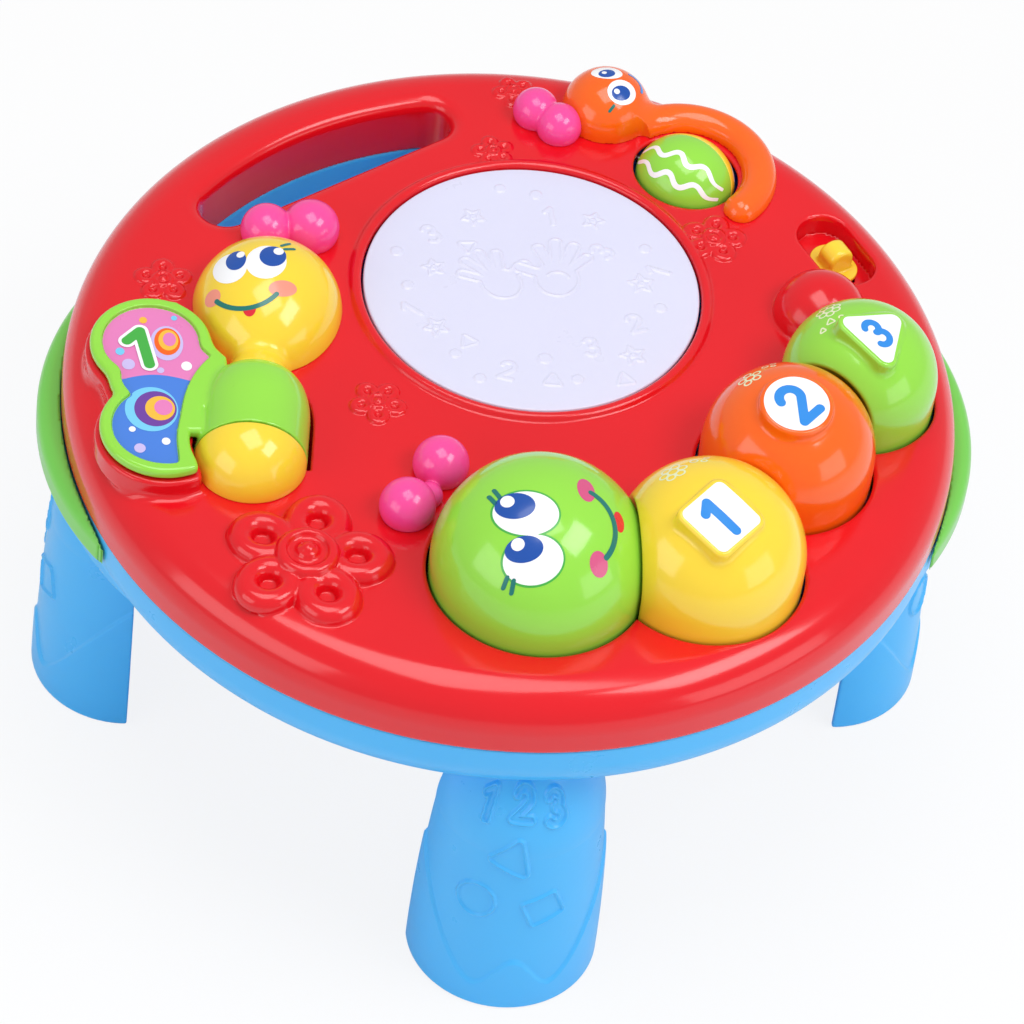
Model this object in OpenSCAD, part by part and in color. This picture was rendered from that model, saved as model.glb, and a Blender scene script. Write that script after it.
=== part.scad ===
// Musical activity table for small children: a round hollow top on four half-pipe legs.
// The origin is on the floor at the centre of the table, +Z is up, and -Y is the front leg.

/* [Table] */
// Height of the flat play surface above the floor
top_z = 158; // [150:1:180]
// Radius of the round top
table_r = 160.5; // [158:0.5:168]
// Height of the red upper shell
top_h = 24; // [22:1:30]
// Height of the blue lower shell
base_h = 26; // [24:1:34]
// Rounding of the upper edge
top_round = 16; // [10:1:18]
// Rounding of the lower edge
base_round = 18; // [12:1:20]
// Thickness of the moulded walls
wall = 2.4; // [1.8:0.1:3]
// Gap between pieces that are pushed or screwed together
fit_gap = 0.2; // [0.1:0.05:0.4]
// Height of the lip that lines up the two shells
lip_h = 3; // [2:0.5:5]

/* [Side lobes] */
// How far a green lobe stands out beyond the top
lobe_out = 8.5; // [5:0.5:13]
// Radius of a lobe's own curve
lobe_r = 109; // [100:1:120]
// Height of a lobe
lobe_h = 15; // [10:1:18]
// How far the blue seat under a lobe is set back from it
lobe_step = 3.5; // [2:0.5:5]

/* [Legs] */
// Distance of a leg's own axis from the rim of the top
leg_inset = 28.5; // [25:0.5:31]
// Radius of a leg at the floor
leg_foot_r = 34.5; // [30:0.5:38]
// Radius of a leg halfway up
leg_mid_r = 31; // [27:0.5:34]
// Radius of a leg under the top
leg_top_r = 19; // [16:0.5:22]
// Wall of a leg
leg_wall = 2.6; // [2:0.1:4]
// Height of the flared lower part of a leg
leg_flare_z = 78; // [60:1:90]
// Radius of the plug that holds a leg
plug_r = 11.5; // [9:0.5:12]
// Length of that plug inside the lower shell
plug_h = 16; // [10:1:18]

/* [Drum pad] */
// Place of the drum pad from the centre, to the right
pad_x = 9; // [0:0.5:14]
// Place of the drum pad from the centre, to the back
pad_y = 38.5; // [34:0.5:42]
// Radius of the drum pad
pad_r = 61; // [55:0.5:62]
// Thickness of the drum pad
pad_t = 2.6; // [2:0.1:4]
// Height of the raised ring round the pad
pad_lip = 2; // [1:0.25:3]
// How far the pad sinks when it is struck
pad_travel = 1.5; // [1:0.1:2]

/* [Keys] */
// Radius of the worm's head
head_r = 38; // [34:0.5:39]
// Radius of the first key
key_one_r = 34; // [31:0.5:35]
// Radius of the second key
key_two_r = 31; // [28:0.5:32]
// Radius of the third key
key_three_r = 28; // [25:0.5:29]
// Straight skirt under the head's dome
head_skirt = 5; // [3:0.5:9]
// Straight skirt under a key's dome
key_skirt = 7.5; // [5:0.5:10]
// How far a key sinks when it is pressed
key_travel = 3; // [2:0.25:4]
// Gap between a key and its neighbour or the shell
key_gap = 0.7; // [0.5:0.05:1]
// How deep a key's skirt reaches under the play surface
key_depth = 8; // [7:0.5:9]
// Wall of a key
key_wall = 2.2; // [1.8:0.1:3]
// Radius of the post under a key
stem_r = 4.5; // [3:0.25:6]
// Height of a rubber contact dome
dome_h = 5; // [4.5:0.25:6]
// Radius of a rubber contact dome
dome_r = 7; // [6:0.25:9]

/* [Butterfly] */
// Radius of the butterfly's head
bug_head_r = 27; // [24:0.5:27]
// How far the centre of the head lies under the surface
bug_head_sink = 4; // [3:0.5:8]
// Radius of the butterfly's body
bug_r = 20; // [18:0.25:20.5]
// Length of the green part of the body
band_l = 35; // [32:0.5:38]
// Radius of the green part at the neck
neck_r = 13.5; // [12:0.25:15]
// Radius of the axle that the wing turns on
axle_r = 2.25; // [2:0.05:2.5]
// Running gap between the axle and the wing's body
run_gap = 0.05; // [0.02:0.01:0.08]
// Thickness of the wing
wing_t = 4.5; // [3.5:0.25:6]
// Height of the wing's underside over the play surface
wing_z = 7.5; // [6:0.25:9]
// Width of the raised border round the wing
wing_border = 4; // [3:0.25:5]

/* [Snail] */
// Radius of the snail's head
snail_head_r = 16.5; // [14:0.25:17]
// Radius of the arched shell's centre line
arch_r = 27.2; // [27:0.1:29]
// Radius of the arch's round section
arch_tube_r = 6.5; // [5:0.25:7]
// Half the length of the roller
roller_l = 19; // [16:0.25:19.5]
// Radius of the roller
roller_r = 17.3; // [15:0.25:17.5]
// Depth of the roller's axis under the play surface
roller_sink = 4.6; // [4.4:0.1:6]
// Radius of the roller's steel pin
roller_pin_r = 1.5; // [1:0.1:1.8]

/* [Mode switch] */
// Length of the oval well
well_l = 36; // [32:1:38]
// Width of the oval well
well_w = 20; // [16:0.5:22]
// Depth of the well
well_depth = 9; // [7:0.5:10]
// How far the knob slides each way
slide_travel = 6; // [4:0.5:7]

/* [Handle opening] */
// Width of the rim that stays outside the opening
grip_rim = 23.5; // [22:0.5:26]
// Width of the opening
grip_depth = 26; // [22:0.5:28]
// Radius of the opening's round ends
grip_end_r = 9; // [7:0.5:10]
// Direction of the opening's middle, in degrees from +X
grip_turn = 121; // [119:0.5:123]

/* [Relief] */
// Size of the large flower
flower_r = 16; // [13:0.5:17]
// Radius of a petal's ring
petal_r = 8; // [6:0.25:8.5]
// Thickness of the petal's ring
petal_t = 3; // [2:0.25:3.5]
// Radius of the fixed red bump beside the third key
bump_r = 17; // [14:0.5:18]

/* [Electronics] */
// Diameter of one cell
cell_d = 14.2; // [13.5:0.1:14.5]
// Length of one cell
cell_l = 50; // [49:0.5:51]
// Radius of the loudspeaker
speaker_r = 25; // [20:0.5:28]
// Height of the loudspeaker
speaker_h = 14; // [10:1:16]
// Thickness of the circuit boards
board_t = 1.6; // [1:0.2:2]
// Height of the circuit boards over the lower shell's floor
board_lift = 18.6; // [17.6:0.1:19.5]
// Radius of the screws' shanks
screw_r = 1.4; // [1.2:0.1:1.8]

/* [Hidden] */
$fn = 96;
over = 1;                       // how far a cut runs past a face
touch = 0.3;                    // gap at a stop between moving pieces
sunk = 0.5;                     // how deep a post or box is rooted in the floor
lip_bite = 0.1;                 // how far the lip is rooted in the wall
seat_low = 3;                   // height of the lobe's seat over the underside
seat_in = 8;                    // how far in the seat starts there
blend = 0.03;                   // how far a round end overlaps the curve it runs into
parting_z = top_z - top_h;
base_z = parting_z - base_h;
floor_z = base_z + wall;
skin_z = top_z - wall;
lower_r = table_r - 0.5;
screw_head_r = 2 * screw_r;
thread_r = screw_r - 0.15;
board_z = floor_z + board_lift;
board_top = board_z + board_t;

red = [0.90, 0.14, 0.19];
blue = [0.30, 0.70, 0.96];
green = [0.55, 0.85, 0.33];
yellow = [0.98, 0.80, 0.26];
orange = [0.98, 0.40, 0.10];
pink = [0.98, 0.36, 0.66];
pearl = [0.89, 0.89, 0.96];

// [x, y, radius, skirt] of the head and the three keys, in order
keys = [[1, -98, head_r, head_skirt], [60, -96, key_one_r, key_skirt],
        [92.5, -48, key_two_r, key_skirt + 1.5], [122, -12, key_three_r, key_skirt + 1.5]];
// directions, in degrees, in which each key's catches point
key_catches = [[100, 180, 260], [105, 250, 345], [130, 185, 335], [170, 300, 60]];
contact_z = board_top + dome_h + touch;
catch_t = 2;
catch_reach = 2.4;
bump_at = [112, 16];

// the butterfly's body axis runs from the tail to the head, turned a little from +Y
bug_turn = 6;
tail_at = [-96.5, -48];
bug_z = top_z + 1;
bug_head_at = [-87, 28];
trough_gap = 1.2;
axle_end = 8;
collar_l = 5;
neck_l = norm(bug_head_at - tail_at) - bug_head_r - band_l + 4;
wing_gap = 1.6;
wing_lobes = [[-130.7, -1, 21.5], [-128.7, -42.5, 22], [-128, -20, 17]];

lobe_reach = table_r + lobe_out;
lobe_root = table_r - 40;
leg_axis = table_r - leg_inset;
grip_outer_r = table_r - grip_rim;
grip_inner = grip_outer_r - grip_depth;

snail_at = [71, 100];
arch_from = -47;                // direction of the arch's free end, in degrees
arch_span = 172;                // how far it runs round the roller to the head
arch_foot = 8;                  // how far it reaches down into the shell
snail_head_at = [43.5, 130.5];
snail_skirt = 1.5;
roller_turn = -35;
roller_z = top_z - roller_sink;
roller_gap = 1.2;
roller_seam = 0.15;

well_at = [123, 61];
well_turn = -64;
slot_w = 8;
slot_l = 2 * slide_travel + 10;

leg_turns = [-90, 0, 90, 180];  // front, right, back, left
post_turns = [-38, -110, -145, 165, 80, 42];
post_at = table_r - 14.5;
post_r = 4.5;
post_gap = 4;                   // how far over the parting an upper post ends
cover_w = 3 * cell_d + 8;
cover_l = cell_l + 12;
box_h = cell_d + 3;
box_at = [pad_x, pad_y - 4];
speaker_at = [-48, -62];
main_w = 84;
main_d = 76;
main_posts = [[-38, -34], [38, -34], [38, 34], [-38, 34]];
key_board_w = 30;

module at(p, z = 0) { translate([p[0], p[1], z]) children(); }
module leg_place(n) { rotate([0, 0, leg_turns[n]]) translate([leg_axis, 0, 0]) children(); }
module posts_place() {
    for (a = post_turns) rotate([0, 0, a]) translate([post_at, 0, 0]) children();
}
// a plate of a given thickness with round ends, from one point to another
module bar(a, b, w, t) {
    d = b - a;
    len = norm(d);
    for (p = [a, b]) at(p) cylinder(d = w + 2, h = t);
    at(a) rotate([0, 0, atan2(d[1], d[0])]) translate([0, -w / 2, 0]) cube([len, w, t]);
}
module bead_ring(r, t) { rotate_extrude() translate([r, 0]) circle(r = t, $fn = 32); }
// ---- outer forms of the two shells ----
module upper_section(inset) {
    r = table_r - inset;
    e = top_round - inset;
    square([r - e, top_h - inset]);
    square([r, top_h - top_round]);
    translate([r - e, top_h - top_round]) intersection() { circle(r = e); square(e); }
}
module upper_form(inset) {
    translate([0, 0, parting_z]) rotate_extrude() upper_section(inset);
}
module lower_form(inset) {
    r = lower_r - inset;
    e = base_round - inset;
    translate([0, 0, base_z + inset]) rotate_extrude() {
        translate([0, e]) square([r, base_h - inset - e]);
        square([r - e, e]);
        translate([r - e, e]) intersection() { circle(r = e); translate([0, -e]) square(e); }
    }
}
// plan of the handle opening, grown by a margin
module grip_plan(grow) {
    reach = grip_outer_r - grip_end_r;
    rise = grip_inner + grip_end_r;
    foot = sqrt(reach * reach - rise * rise);
    spread = atan2(foot, rise);
    far = 2 * reach;
    rotate([0, 0, grip_turn - 90]) {
        intersection() {
            circle(r = grip_outer_r + grow);
            polygon([[-foot, grip_inner - grow], [-foot, rise], far * [-sin(spread), cos(spread)],
                far * [sin(spread), cos(spread)], [foot, rise], [foot, grip_inner - grow]]);
        }
        for (s = [-1, 1]) translate([s * foot, rise]) circle(r = grip_end_r + grow + blend);
    }
}
module grip_block(z0, z1, grow) {
    translate([0, 0, z0]) linear_extrude(z1 - z0) grip_plan(grow);
}
// ---- keys ----
module key_plan(i, grow) { at(keys[i]) circle(r = keys[i][2] + grow); }
module key_column(i, grow, z0, z1) { translate([0, 0, z0]) linear_extrude(z1 - z0) key_plan(i, grow); }
module key_dome(i, inset) {
    k = keys[i];
    at(k, top_z - key_depth) cylinder(r = k[2] - inset, h = key_depth + k[3]);
    at(k, top_z + k[3]) intersection() {
        sphere(r = k[2] - inset);
        cylinder(r = k[2], h = k[2]);
    }
}
module key_catch(i) {
    k = keys[i];
    z = skin_z - touch - catch_t;
    for (a = key_catches[i]) at(k, z) rotate([0, 0, a])
        translate([k[2] - key_wall, -4, 0]) cube([key_wall + catch_reach, 8, catch_t]);
}
module key_body(i) {
    k = keys[i];
    difference() {
        union() {
            difference() {
                key_dome(i, 0);
                if (i > 0) key_column(i - 1, key_gap, top_z - key_depth - over, top_z + 2 * k[2]);
            }
            key_catch(i);
        }
        difference() {
            union() {
                key_dome(i, key_wall);
                at(k, top_z - key_depth - over) cylinder(r = k[2] - key_wall, h = 2 * over);
            }
            if (i > 0)
                key_column(i - 1, key_gap + key_wall, top_z - key_depth - 2 * over, top_z + 2 * k[2]);
        }
    }
    at(k, contact_z) cylinder(r = stem_r, h = top_z + k[3] + k[2] - key_wall / 2 - contact_z);
}
module contact_dome(p, travel_gap) {
    at(p, board_top) difference() {
        cylinder(r1 = dome_r, r2 = stem_r, h = dome_h);
        translate([0, 0, -over]) cylinder(r1 = dome_r - 1, r2 = stem_r - 1.5, h = dome_h - travel_gap + over);
    }
}
// ---- butterfly ----
module along_bug(s, z = bug_z) {
    translate([tail_at[0], tail_at[1], z]) rotate([0, 0, -bug_turn]) translate([0, s, 0]) children();
}
// section of the green band: radius against distance from the tail
function band_radius(s) = s < band_l / 2 ? bug_r
    : neck_r + (bug_r - neck_r) * sqrt(max(0, 1 - pow((s - band_l / 2) / (band_l / 2), 2)));
module band_form(grow, from, to) {
    steps = 12;
    along_bug(0) rotate([-90, 0, 0]) rotate_extrude()
        polygon(concat([[0, to], [0, from]],
            [for (n = [0:steps]) let (s = from + (to - from) * n / steps)
                [band_radius(max(0, min(band_l, s))) + grow, s]]));
}
module wing_plan(grow) {
    difference() {
        union() {
            for (c = wing_lobes) at(c) circle(r = c[2] + grow);
            translate([tail_at[0] - bug_r - 10, tail_at[1] + 1]) square([14, band_l + 2]);
        }
        at(bug_head_at) circle(r = bug_head_r + wing_gap - grow);
        at(tail_at) circle(r = bug_r + wing_gap - grow);
    }
}
// ---- snail ----
function roller_radius(x) = roller_r * sqrt(max(0, 1 - pow(x / roller_l, 2)));
module roller_form(grow) {
    steps = 18;
    at(snail_at, roller_z) rotate([0, 0, roller_turn]) rotate([0, 90, 0]) rotate_extrude()
        polygon([for (n = [0:steps]) let (a = -90 + 180 * n / steps)
            [(roller_r + grow) * max(0, cos(a)), (roller_l + grow) * sin(a)]]);
}
module roller_pin_form(grow, half) {
    at(snail_at, roller_z) rotate([0, 0, roller_turn]) rotate([0, 90, 0])
        translate([0, 0, -half]) cylinder(r = roller_pin_r + grow, h = 2 * half, $fn = 48);
}
ear_w = 8;                      // width of the ears that hold the roller's pin
ear_t = 4;                      // their thickness
roller_pin_half = roller_l + roller_gap + ear_t + 1;
// ---- mode switch ----
module oval(l, w) {
    square([l - w, w], center = true);
    for (s = [-1, 1]) translate([s * (l - w) / 2, 0]) circle(d = w);
}
module in_well(z) { at(well_at, z) rotate([0, 0, well_turn]) children(); }
// ---- feelers: [x, y, radius, height of the centre over the surface] of each ball ----
worm_balls = [[-30, -51.5, 10, 4], [-43, -71.5, 10, 4], [-35, -65, 5, 2]];
bug_balls = [[-86, 63, 9.5, 4], [-70, 64, 10.5, 4]];
snail_balls = [[17, 128, 8.5, 3.5], [25, 120, 8.5, 3.5]];
// ---- pegs under fixed figures ----
peg_r = 2;
peg_h = 7;
bug_pegs = [for (o = [[0, 12], [-9, -4], [9, -4]]) bug_head_at + o];
tail_pegs = [tail_at + [-1.5, -10]];
snail_pegs = [snail_head_at + [-2.5, 3.5], snail_head_at + [3.5, -4.5], snail_at + [26, 6]];
function places(balls) = [for (n = [0, 1]) [balls[n][0], balls[n][1]]];
feeler_pegs = concat(places(worm_balls), places(bug_balls), places(snail_balls));
module pegs(list) { for (p = list) at(p, top_z - peg_h) cylinder(r = peg_r, h = peg_h + over, $fn = 32); }
module peg_holes() {
    for (p = concat(bug_pegs, tail_pegs, snail_pegs, feeler_pegs))
        at(p, top_z - peg_h - over) cylinder(r = peg_r + fit_gap, h = peg_h + 2 * over, $fn = 32);
}

// ---- red upper shell ----
module flower(p, size, ring, bead, turn) {
    at(p, top_z) {
        for (n = [0:4]) rotate([0, 0, turn + 72 * n]) translate([size, 0, 0]) bead_ring(ring - bead, bead);
        cylinder(r1 = ring, r2 = ring - bead / 2, h = bead * 1.6);
        translate([0, 0, bead * 1.6]) bead_ring(ring * 0.55, bead * 0.5);
        translate([0, 0, bead * 1.6]) sphere(r = bead * 0.7, $fn = 32);
    }
}
module upper_solid() {
    difference() {
        union() {
            difference() {
                upper_form(0);
                upper_form(wall);
                translate([0, 0, parting_z - over]) cylinder(r = table_r - wall, h = 2 * over);
            }
            intersection() {
                upper_form(0);
                grip_block(parting_z, top_z, wall);
            }
            // ring round the drum pad and the shelf under it
            at([pad_x, pad_y], top_z) bead_ring(pad_r + key_gap + pad_lip, pad_lip);
            // raised platform under the wing
            translate([0, 0, skin_z]) linear_extrude(wing_z + wall - touch) wing_plan(1.5);
            // walls that carry the butterfly's axle
            intersection() {
                upper_form(0);
                band_form(trough_gap + wall, -trough_gap - wall, band_l + trough_gap + wall);
            }
            // fixed bump beside the third key
            at(bump_at, top_z) intersection() { sphere(r = bump_r); cylinder(r = bump_r, h = bump_r); }
            // walls of the switch well
            in_well(top_z - well_depth - wall) linear_extrude(well_depth + wall - 1)
                oval(well_l + 2 * wall, well_w + 2 * wall);
            // ears that hold the roller's pin
            for (s = [-1, 1]) at(snail_at, roller_z - ear_w / 2) rotate([0, 0, roller_turn])
                translate([s * (roller_l + roller_gap + ear_t / 2) - ear_t / 2, -ear_w / 2, 0])
                    cube([ear_t, ear_w, skin_z - roller_z + ear_w / 2 + touch]);
            flower([-79, -93], flower_r, petal_r, petal_t, 20);
            posts_place() translate([0, 0, parting_z + post_gap])
                cylinder(r = post_r, h = skin_z + sunk - parting_z - post_gap, $fn = 48);
        }
        translate([0, 0, -over]) grip_block(parting_z, top_z + 3 * over, 0);
        for (i = [0:3]) key_column(i, key_gap, parting_z, top_z + 2 * bump_r);
        at([pad_x, pad_y], parting_z) cylinder(r = pad_r + key_gap, h = top_h + 2 * pad_lip + over);
        band_form(trough_gap, -trough_gap, band_l + trough_gap);
        axle_form(fit_gap);
        // hollow of the wing's platform
        translate([0, 0, skin_z - over]) linear_extrude(wing_z - touch + over) wing_plan(1.5 - wall);
        roller_form(roller_gap);
        roller_pin_form(fit_gap / 4, roller_pin_half);
        in_well(top_z - well_depth) linear_extrude(well_depth + over) oval(well_l, well_w);
        in_well(top_z - well_depth - wall - over) linear_extrude(well_depth)
            oval(slot_l, slot_w + 2 * fit_gap);
        peg_holes();
        posts_place() translate([0, 0, parting_z - over]) cylinder(r = thread_r, h = top_h - 8, $fn = 32);
    }
}
module top_shell() { color(red) upper_solid(); }

// ---- blue lower shell ----
module lobe_plan(inset) {
    for (s = [0, 180]) rotate([0, 0, s]) difference() {
        translate([lobe_reach - lobe_r, 0]) circle(r = lobe_r - inset);
        translate([-2 * table_r, -2 * table_r]) square([2 * table_r + lobe_root + 20, 4 * table_r]);
    }
}
module leg_socket(n, grow) {
    leg_place(n) translate([0, 0, base_z - over]) intersection() {
        cylinder(r = plug_r + grow, h = plug_h + over + grow);
        translate([-grow, -2 * plug_r, 0]) cube([2 * plug_r, 4 * plug_r, 2 * plug_h]);
    }
}
module lower_solid() {
    difference() {
        union() {
            difference() {
                union() {
                    lower_form(0);
                    intersection() {
                        translate([0, 0, base_z + seat_low]) linear_extrude(base_h - lobe_h - seat_low)
                            lobe_plan(lobe_step);
                        translate([0, 0, base_z])
                            cylinder(r1 = lower_r - seat_in, r2 = lower_r + base_h, h = base_h);
                    }
                }
                lower_form(wall);
                translate([0, 0, parting_z - over]) cylinder(r = lower_r - wall, h = 2 * over);
            }
            translate([0, 0, parting_z - lip_h]) difference() {
                cylinder(r = lower_r - wall + lip_bite, h = lip_h);
                translate([0, 0, -over]) cylinder(r = lower_r - 2 * wall, h = lip_h + 2 * over);
            }
            translate([0, 0, parting_z - over]) difference() {
                cylinder(r = table_r - wall - fit_gap, h = lip_h + over);
                translate([0, 0, -over]) cylinder(r = table_r - 2 * wall, h = lip_h + 3 * over);
            }
            intersection() { lower_form(0); grip_block(base_z, parting_z, wall); }
            intersection() { lower_form(0); for (n = [0:3]) leg_socket(n, wall); }
            posts_place() translate([0, 0, floor_z])
                cylinder(r = post_r, h = base_h + post_gap - wall - touch, $fn = 48);
            // box for the cells
            at(box_at, base_z + sunk) translate([-cover_l / 2 - wall, -cover_w / 2 - wall, 0])
                cube([cover_l + 2 * wall, cover_w + 2 * wall, box_h + wall]);
            // posts under the boards
            for (p = board_posts) at(p, floor_z - sunk) cylinder(r = 3, h = board_lift + sunk, $fn = 32);
            // ring round the loudspeaker
            at(speaker_at, floor_z - sunk) cylinder(r = speaker_r + fit_gap + wall, h = 5);
        }
        translate([0, 0, -over]) grip_block(base_z - over, parting_z + 3 * over, 0);
        // clearance for the upper shell's posts
        posts_place() {
            translate([0, 0, base_z - over]) cylinder(r = screw_r + fit_gap, h = base_h + 10, $fn = 32);
            translate([0, 0, base_z - over]) cylinder(r = screw_head_r + fit_gap, h = 8 + over, $fn = 32);
        }
        for (n = [0:3]) leg_socket(n, fit_gap);
        at(box_at, base_z - over) translate([-cover_l / 2, -cover_w / 2, 0])
            cube([cover_l, cover_w, box_h + sunk + over]);
        at(box_at, base_z - over) translate([-cover_l / 2 - tab_l, -tab_w / 2, 0])
            cube([cover_l + tab_l, tab_w, cover_t + over]);
        at(speaker_at, floor_z) cylinder(r = speaker_r + fit_gap, h = 6);
        for (x = [-3:3]) for (y = [-3:3]) if (norm([x, y]) < 3.2)
            at(speaker_at + grille_step * [x, y], base_z - over)
                cylinder(r = 1.6, h = wall + 2 * over, $fn = 24);
        for (p = board_posts) at(p, board_z - 8) cylinder(r = thread_r, h = 9, $fn = 24);
    }
}
cover_t = 2;                    // thickness of the cells' cover
tab_l = 3;                      // reach of the cover's tab
tab_w = 16;                     // width of that tab
grille_step = 6;                // distance between the holes over the loudspeaker
key_board_posts = [[20, -118], [80, -78], [128, -32]];
board_posts = concat([for (q = main_posts) q + [pad_x, pad_y]], key_board_posts);
module bottom_shell() { color(blue) lower_solid(); }

// ---- green side lobes ----
module side_lobe(turn) {
    color(green) rotate([0, 0, turn]) intersection() {
        difference() {
            translate([lobe_reach - lobe_r, 0, parting_z - lobe_h]) rotate_extrude() {
                square([lobe_r - 5, lobe_h]);
                translate([0, 5]) square([lobe_r, lobe_h - 10]);
                translate([lobe_r - 5, 5]) circle(r = 5);
                translate([lobe_r - 5, lobe_h - 5]) circle(r = 5);
            }
            cylinder(r = table_r + fit_gap, h = 2 * top_z);
        }
        translate([lobe_root, -table_r, 0]) cube([table_r, 2 * table_r, 2 * top_z]);
    }
}
module side_lobe_left() side_lobe(180);
module side_lobe_right() side_lobe(0);

// ---- legs ----
function leg_radius(z) =
    z < leg_flare_z ? leg_foot_r + (leg_mid_r - leg_foot_r) * pow(z / leg_flare_z, 2)
    : leg_mid_r - (leg_mid_r - leg_top_r) * pow((z - leg_flare_z) / (base_z + 5 - leg_flare_z), 2);
leg_steps = 12;
leg_cap_z = base_z - 12;
module leg_wall_form() {
    top = base_z + 8;
    zs = [for (n = [0:leg_steps]) top * n / leg_steps];
    rotate([0, 0, -90]) rotate_extrude(angle = 180) polygon(concat(
        [for (z = zs) [leg_radius(z), z]],
        [for (n = [leg_steps:-1:0]) [leg_radius(zs[n]) - leg_wall, zs[n]]]));
}
module leg(n) {
    color(blue) {
        difference() {
            leg_place(n) union() {
                leg_wall_form();
                // cap inside the leg's upper end
                translate([0, 0, leg_cap_z]) intersection() {
                    cylinder(r = leg_radius(leg_cap_z) - 1, h = leg_wall);
                    translate([0, -2 * leg_foot_r, 0]) cube([2 * leg_foot_r, 4 * leg_foot_r, leg_wall]);
                }
            }
            translate([0, 0, -fit_gap]) lower_form(0);
            translate([0, 0, base_z + base_round - fit_gap]) cylinder(r = lower_r, h = base_h);
        }
        leg_place(n) translate([0, 0, leg_cap_z]) intersection() {
            cylinder(r = plug_r, h = plug_h + base_z - leg_cap_z - fit_gap);
            translate([fit_gap, -2 * plug_r, 0]) cube([2 * plug_r, 4 * plug_r, 4 * plug_h]);
        }
    }
}
module leg_front() leg(0);
module leg_right() leg(1);
module leg_back() leg(2);
module leg_left() leg(3);

// ---- drum pad ----
pad_catches = [30, 150, 270];
module drum_pad() {
    color(pearl) {
        at([pad_x, pad_y], top_z - 1) cylinder(r = pad_r, h = pad_t);
        at([pad_x, pad_y], top_z - 6) difference() {
            cylinder(r = pad_r, h = 5.5);
            translate([0, 0, -over]) cylinder(r = pad_r - 2, h = 5.5 + 2 * over);
        }
        for (a = pad_catches) at([pad_x, pad_y], skin_z - touch - catch_t) rotate([0, 0, a])
            translate([pad_r - 2, -5, 0]) cube([2 + catch_reach, 10, catch_t]);
        for (p = pad_domes) at(p, contact_z) cylinder(r = stem_r, h = top_z - 0.5 - contact_z);
    }
}
pad_domes = [for (a = [90, 210, 330]) [pad_x + 26 * cos(a), pad_y + 26 * sin(a)]];
module drum_contacts() { color("gainsboro") for (p = pad_domes) contact_dome(p, pad_travel + 0.5); }

// ---- worm ----
module worm_head() { color(green) key_body(0); }
module key_one() { color(yellow) key_body(1); }
module key_two() { color(orange) key_body(2); }
module key_three() { color(green) key_body(3); }
module head_contact() { color("gainsboro") contact_dome(keys[0], key_travel + 0.5); }
module key_one_contact() { color("gainsboro") contact_dome(keys[1], key_travel + 0.5); }
module key_two_contact() { color("gainsboro") contact_dome(keys[2], key_travel + 0.5); }
module key_three_contact() { color("gainsboro") contact_dome(keys[3], key_travel + 0.5); }

// the space over the play surface
module above_surface() { translate([-table_r, -table_r, top_z]) cube([2 * table_r, 2 * table_r, top_z]); }
// ---- pink feelers: balls that stand on the surface ----
module feelers(balls) {
    color(pink) {
        intersection() {
            union() for (b = balls) at(b, top_z + b[3]) sphere(r = b[2]);
            above_surface();
        }
        pegs(places(balls));
    }
}
module worm_feelers() {
    difference() {
        feelers(worm_balls);
        key_column(0, key_gap, top_z, top_z + 2 * head_r);
    }
}
module butterfly_feelers() {
    difference() {
        feelers(bug_balls);
        at(bug_head_at, top_z - bug_head_sink) sphere(r = bug_head_r + fit_gap);
    }
}
module snail_feelers() {
    difference() {
        feelers(snail_balls);
        at(snail_head_at, top_z - over) cylinder(r = snail_head_r + fit_gap, h = 30);
    }
}

// ---- butterfly ----
module butterfly_head() {
    color(yellow) {
        difference() {
            intersection() {
                union() {
                    at(bug_head_at, top_z - bug_head_sink) sphere(r = bug_head_r);
                    along_bug(band_l + touch) rotate([-90, 0, 0]) {
                        cylinder(r = neck_r - 1, h = collar_l);
                        cylinder(r = neck_r - 5, h = neck_l);
                    }
                }
                above_surface();
            }
            at(bug_head_at, top_z - bug_head_sink) sphere(r = bug_head_r - wall);
            axle_form(run_gap);
        }
        intersection() {
            union() for (p = bug_pegs) at(p, top_z - peg_h)
                cylinder(r = peg_r, h = peg_h + bug_head_r, $fn = 32);
            union() {
                at(bug_head_at, top_z - bug_head_sink) sphere(r = bug_head_r - 1);
                translate([-table_r, -table_r, top_z - peg_h]) cube([2 * table_r, 2 * table_r, peg_h + over]);
            }
        }
    }
}
module butterfly_tail() {
    color(yellow) {
        difference() {
            intersection() {
                along_bug(0) sphere(r = bug_r);
                above_surface();
                along_bug(-touch) translate([-50, -100, -50]) cube([100, 100, 100]);
            }
            axle_form(run_gap);
        }
        pegs(tail_pegs);
    }
}
// the axle, grown by a margin, reaches into the tail and the neck
module axle_form(grow) {
    along_bug(-axle_end - grow) rotate([-90, 0, 0])
        cylinder(r = axle_r + grow, h = band_l + 2 * (axle_end + grow));
}
module wing_axle() { color("silver") axle_form(0); }
module wing_page() {
    color(green) difference() {
        union() {
            band_form(0, 0, band_l);
            translate([0, 0, top_z + wing_z]) linear_extrude(wing_t) wing_plan(0);
        }
        // the turning band keeps clear of the tail and the head
        along_bug(0, 0) translate([-bug_r, -60, 0]) cube([3 * bug_r, 60, 2 * top_z]);
        along_bug(band_l, 0) translate([-neck_r, 0, 0]) cube([3 * bug_r, 60, 2 * top_z]);
        translate([0, 0, top_z + wing_z + wing_t - 1.4]) linear_extrude(3) difference() {
            wing_plan(-wing_border);
            along_bug(0, 0) projection_free_band();
        }
        along_bug(-over) rotate([-90, 0, 0]) cylinder(r = axle_r + run_gap, h = band_l + 2 * over);
        // hollow inside the band
        along_bug(wall) rotate([-90, 0, 0]) difference() {
            cylinder(r = neck_r - wall, h = band_l - 2 * wall);
            cylinder(r = axle_r + run_gap + wall, h = band_l);
        }
    }
}
module projection_free_band() { translate([-bug_r - wing_border, -20]) square([3 * bug_r, band_l + 40]); }
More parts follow.
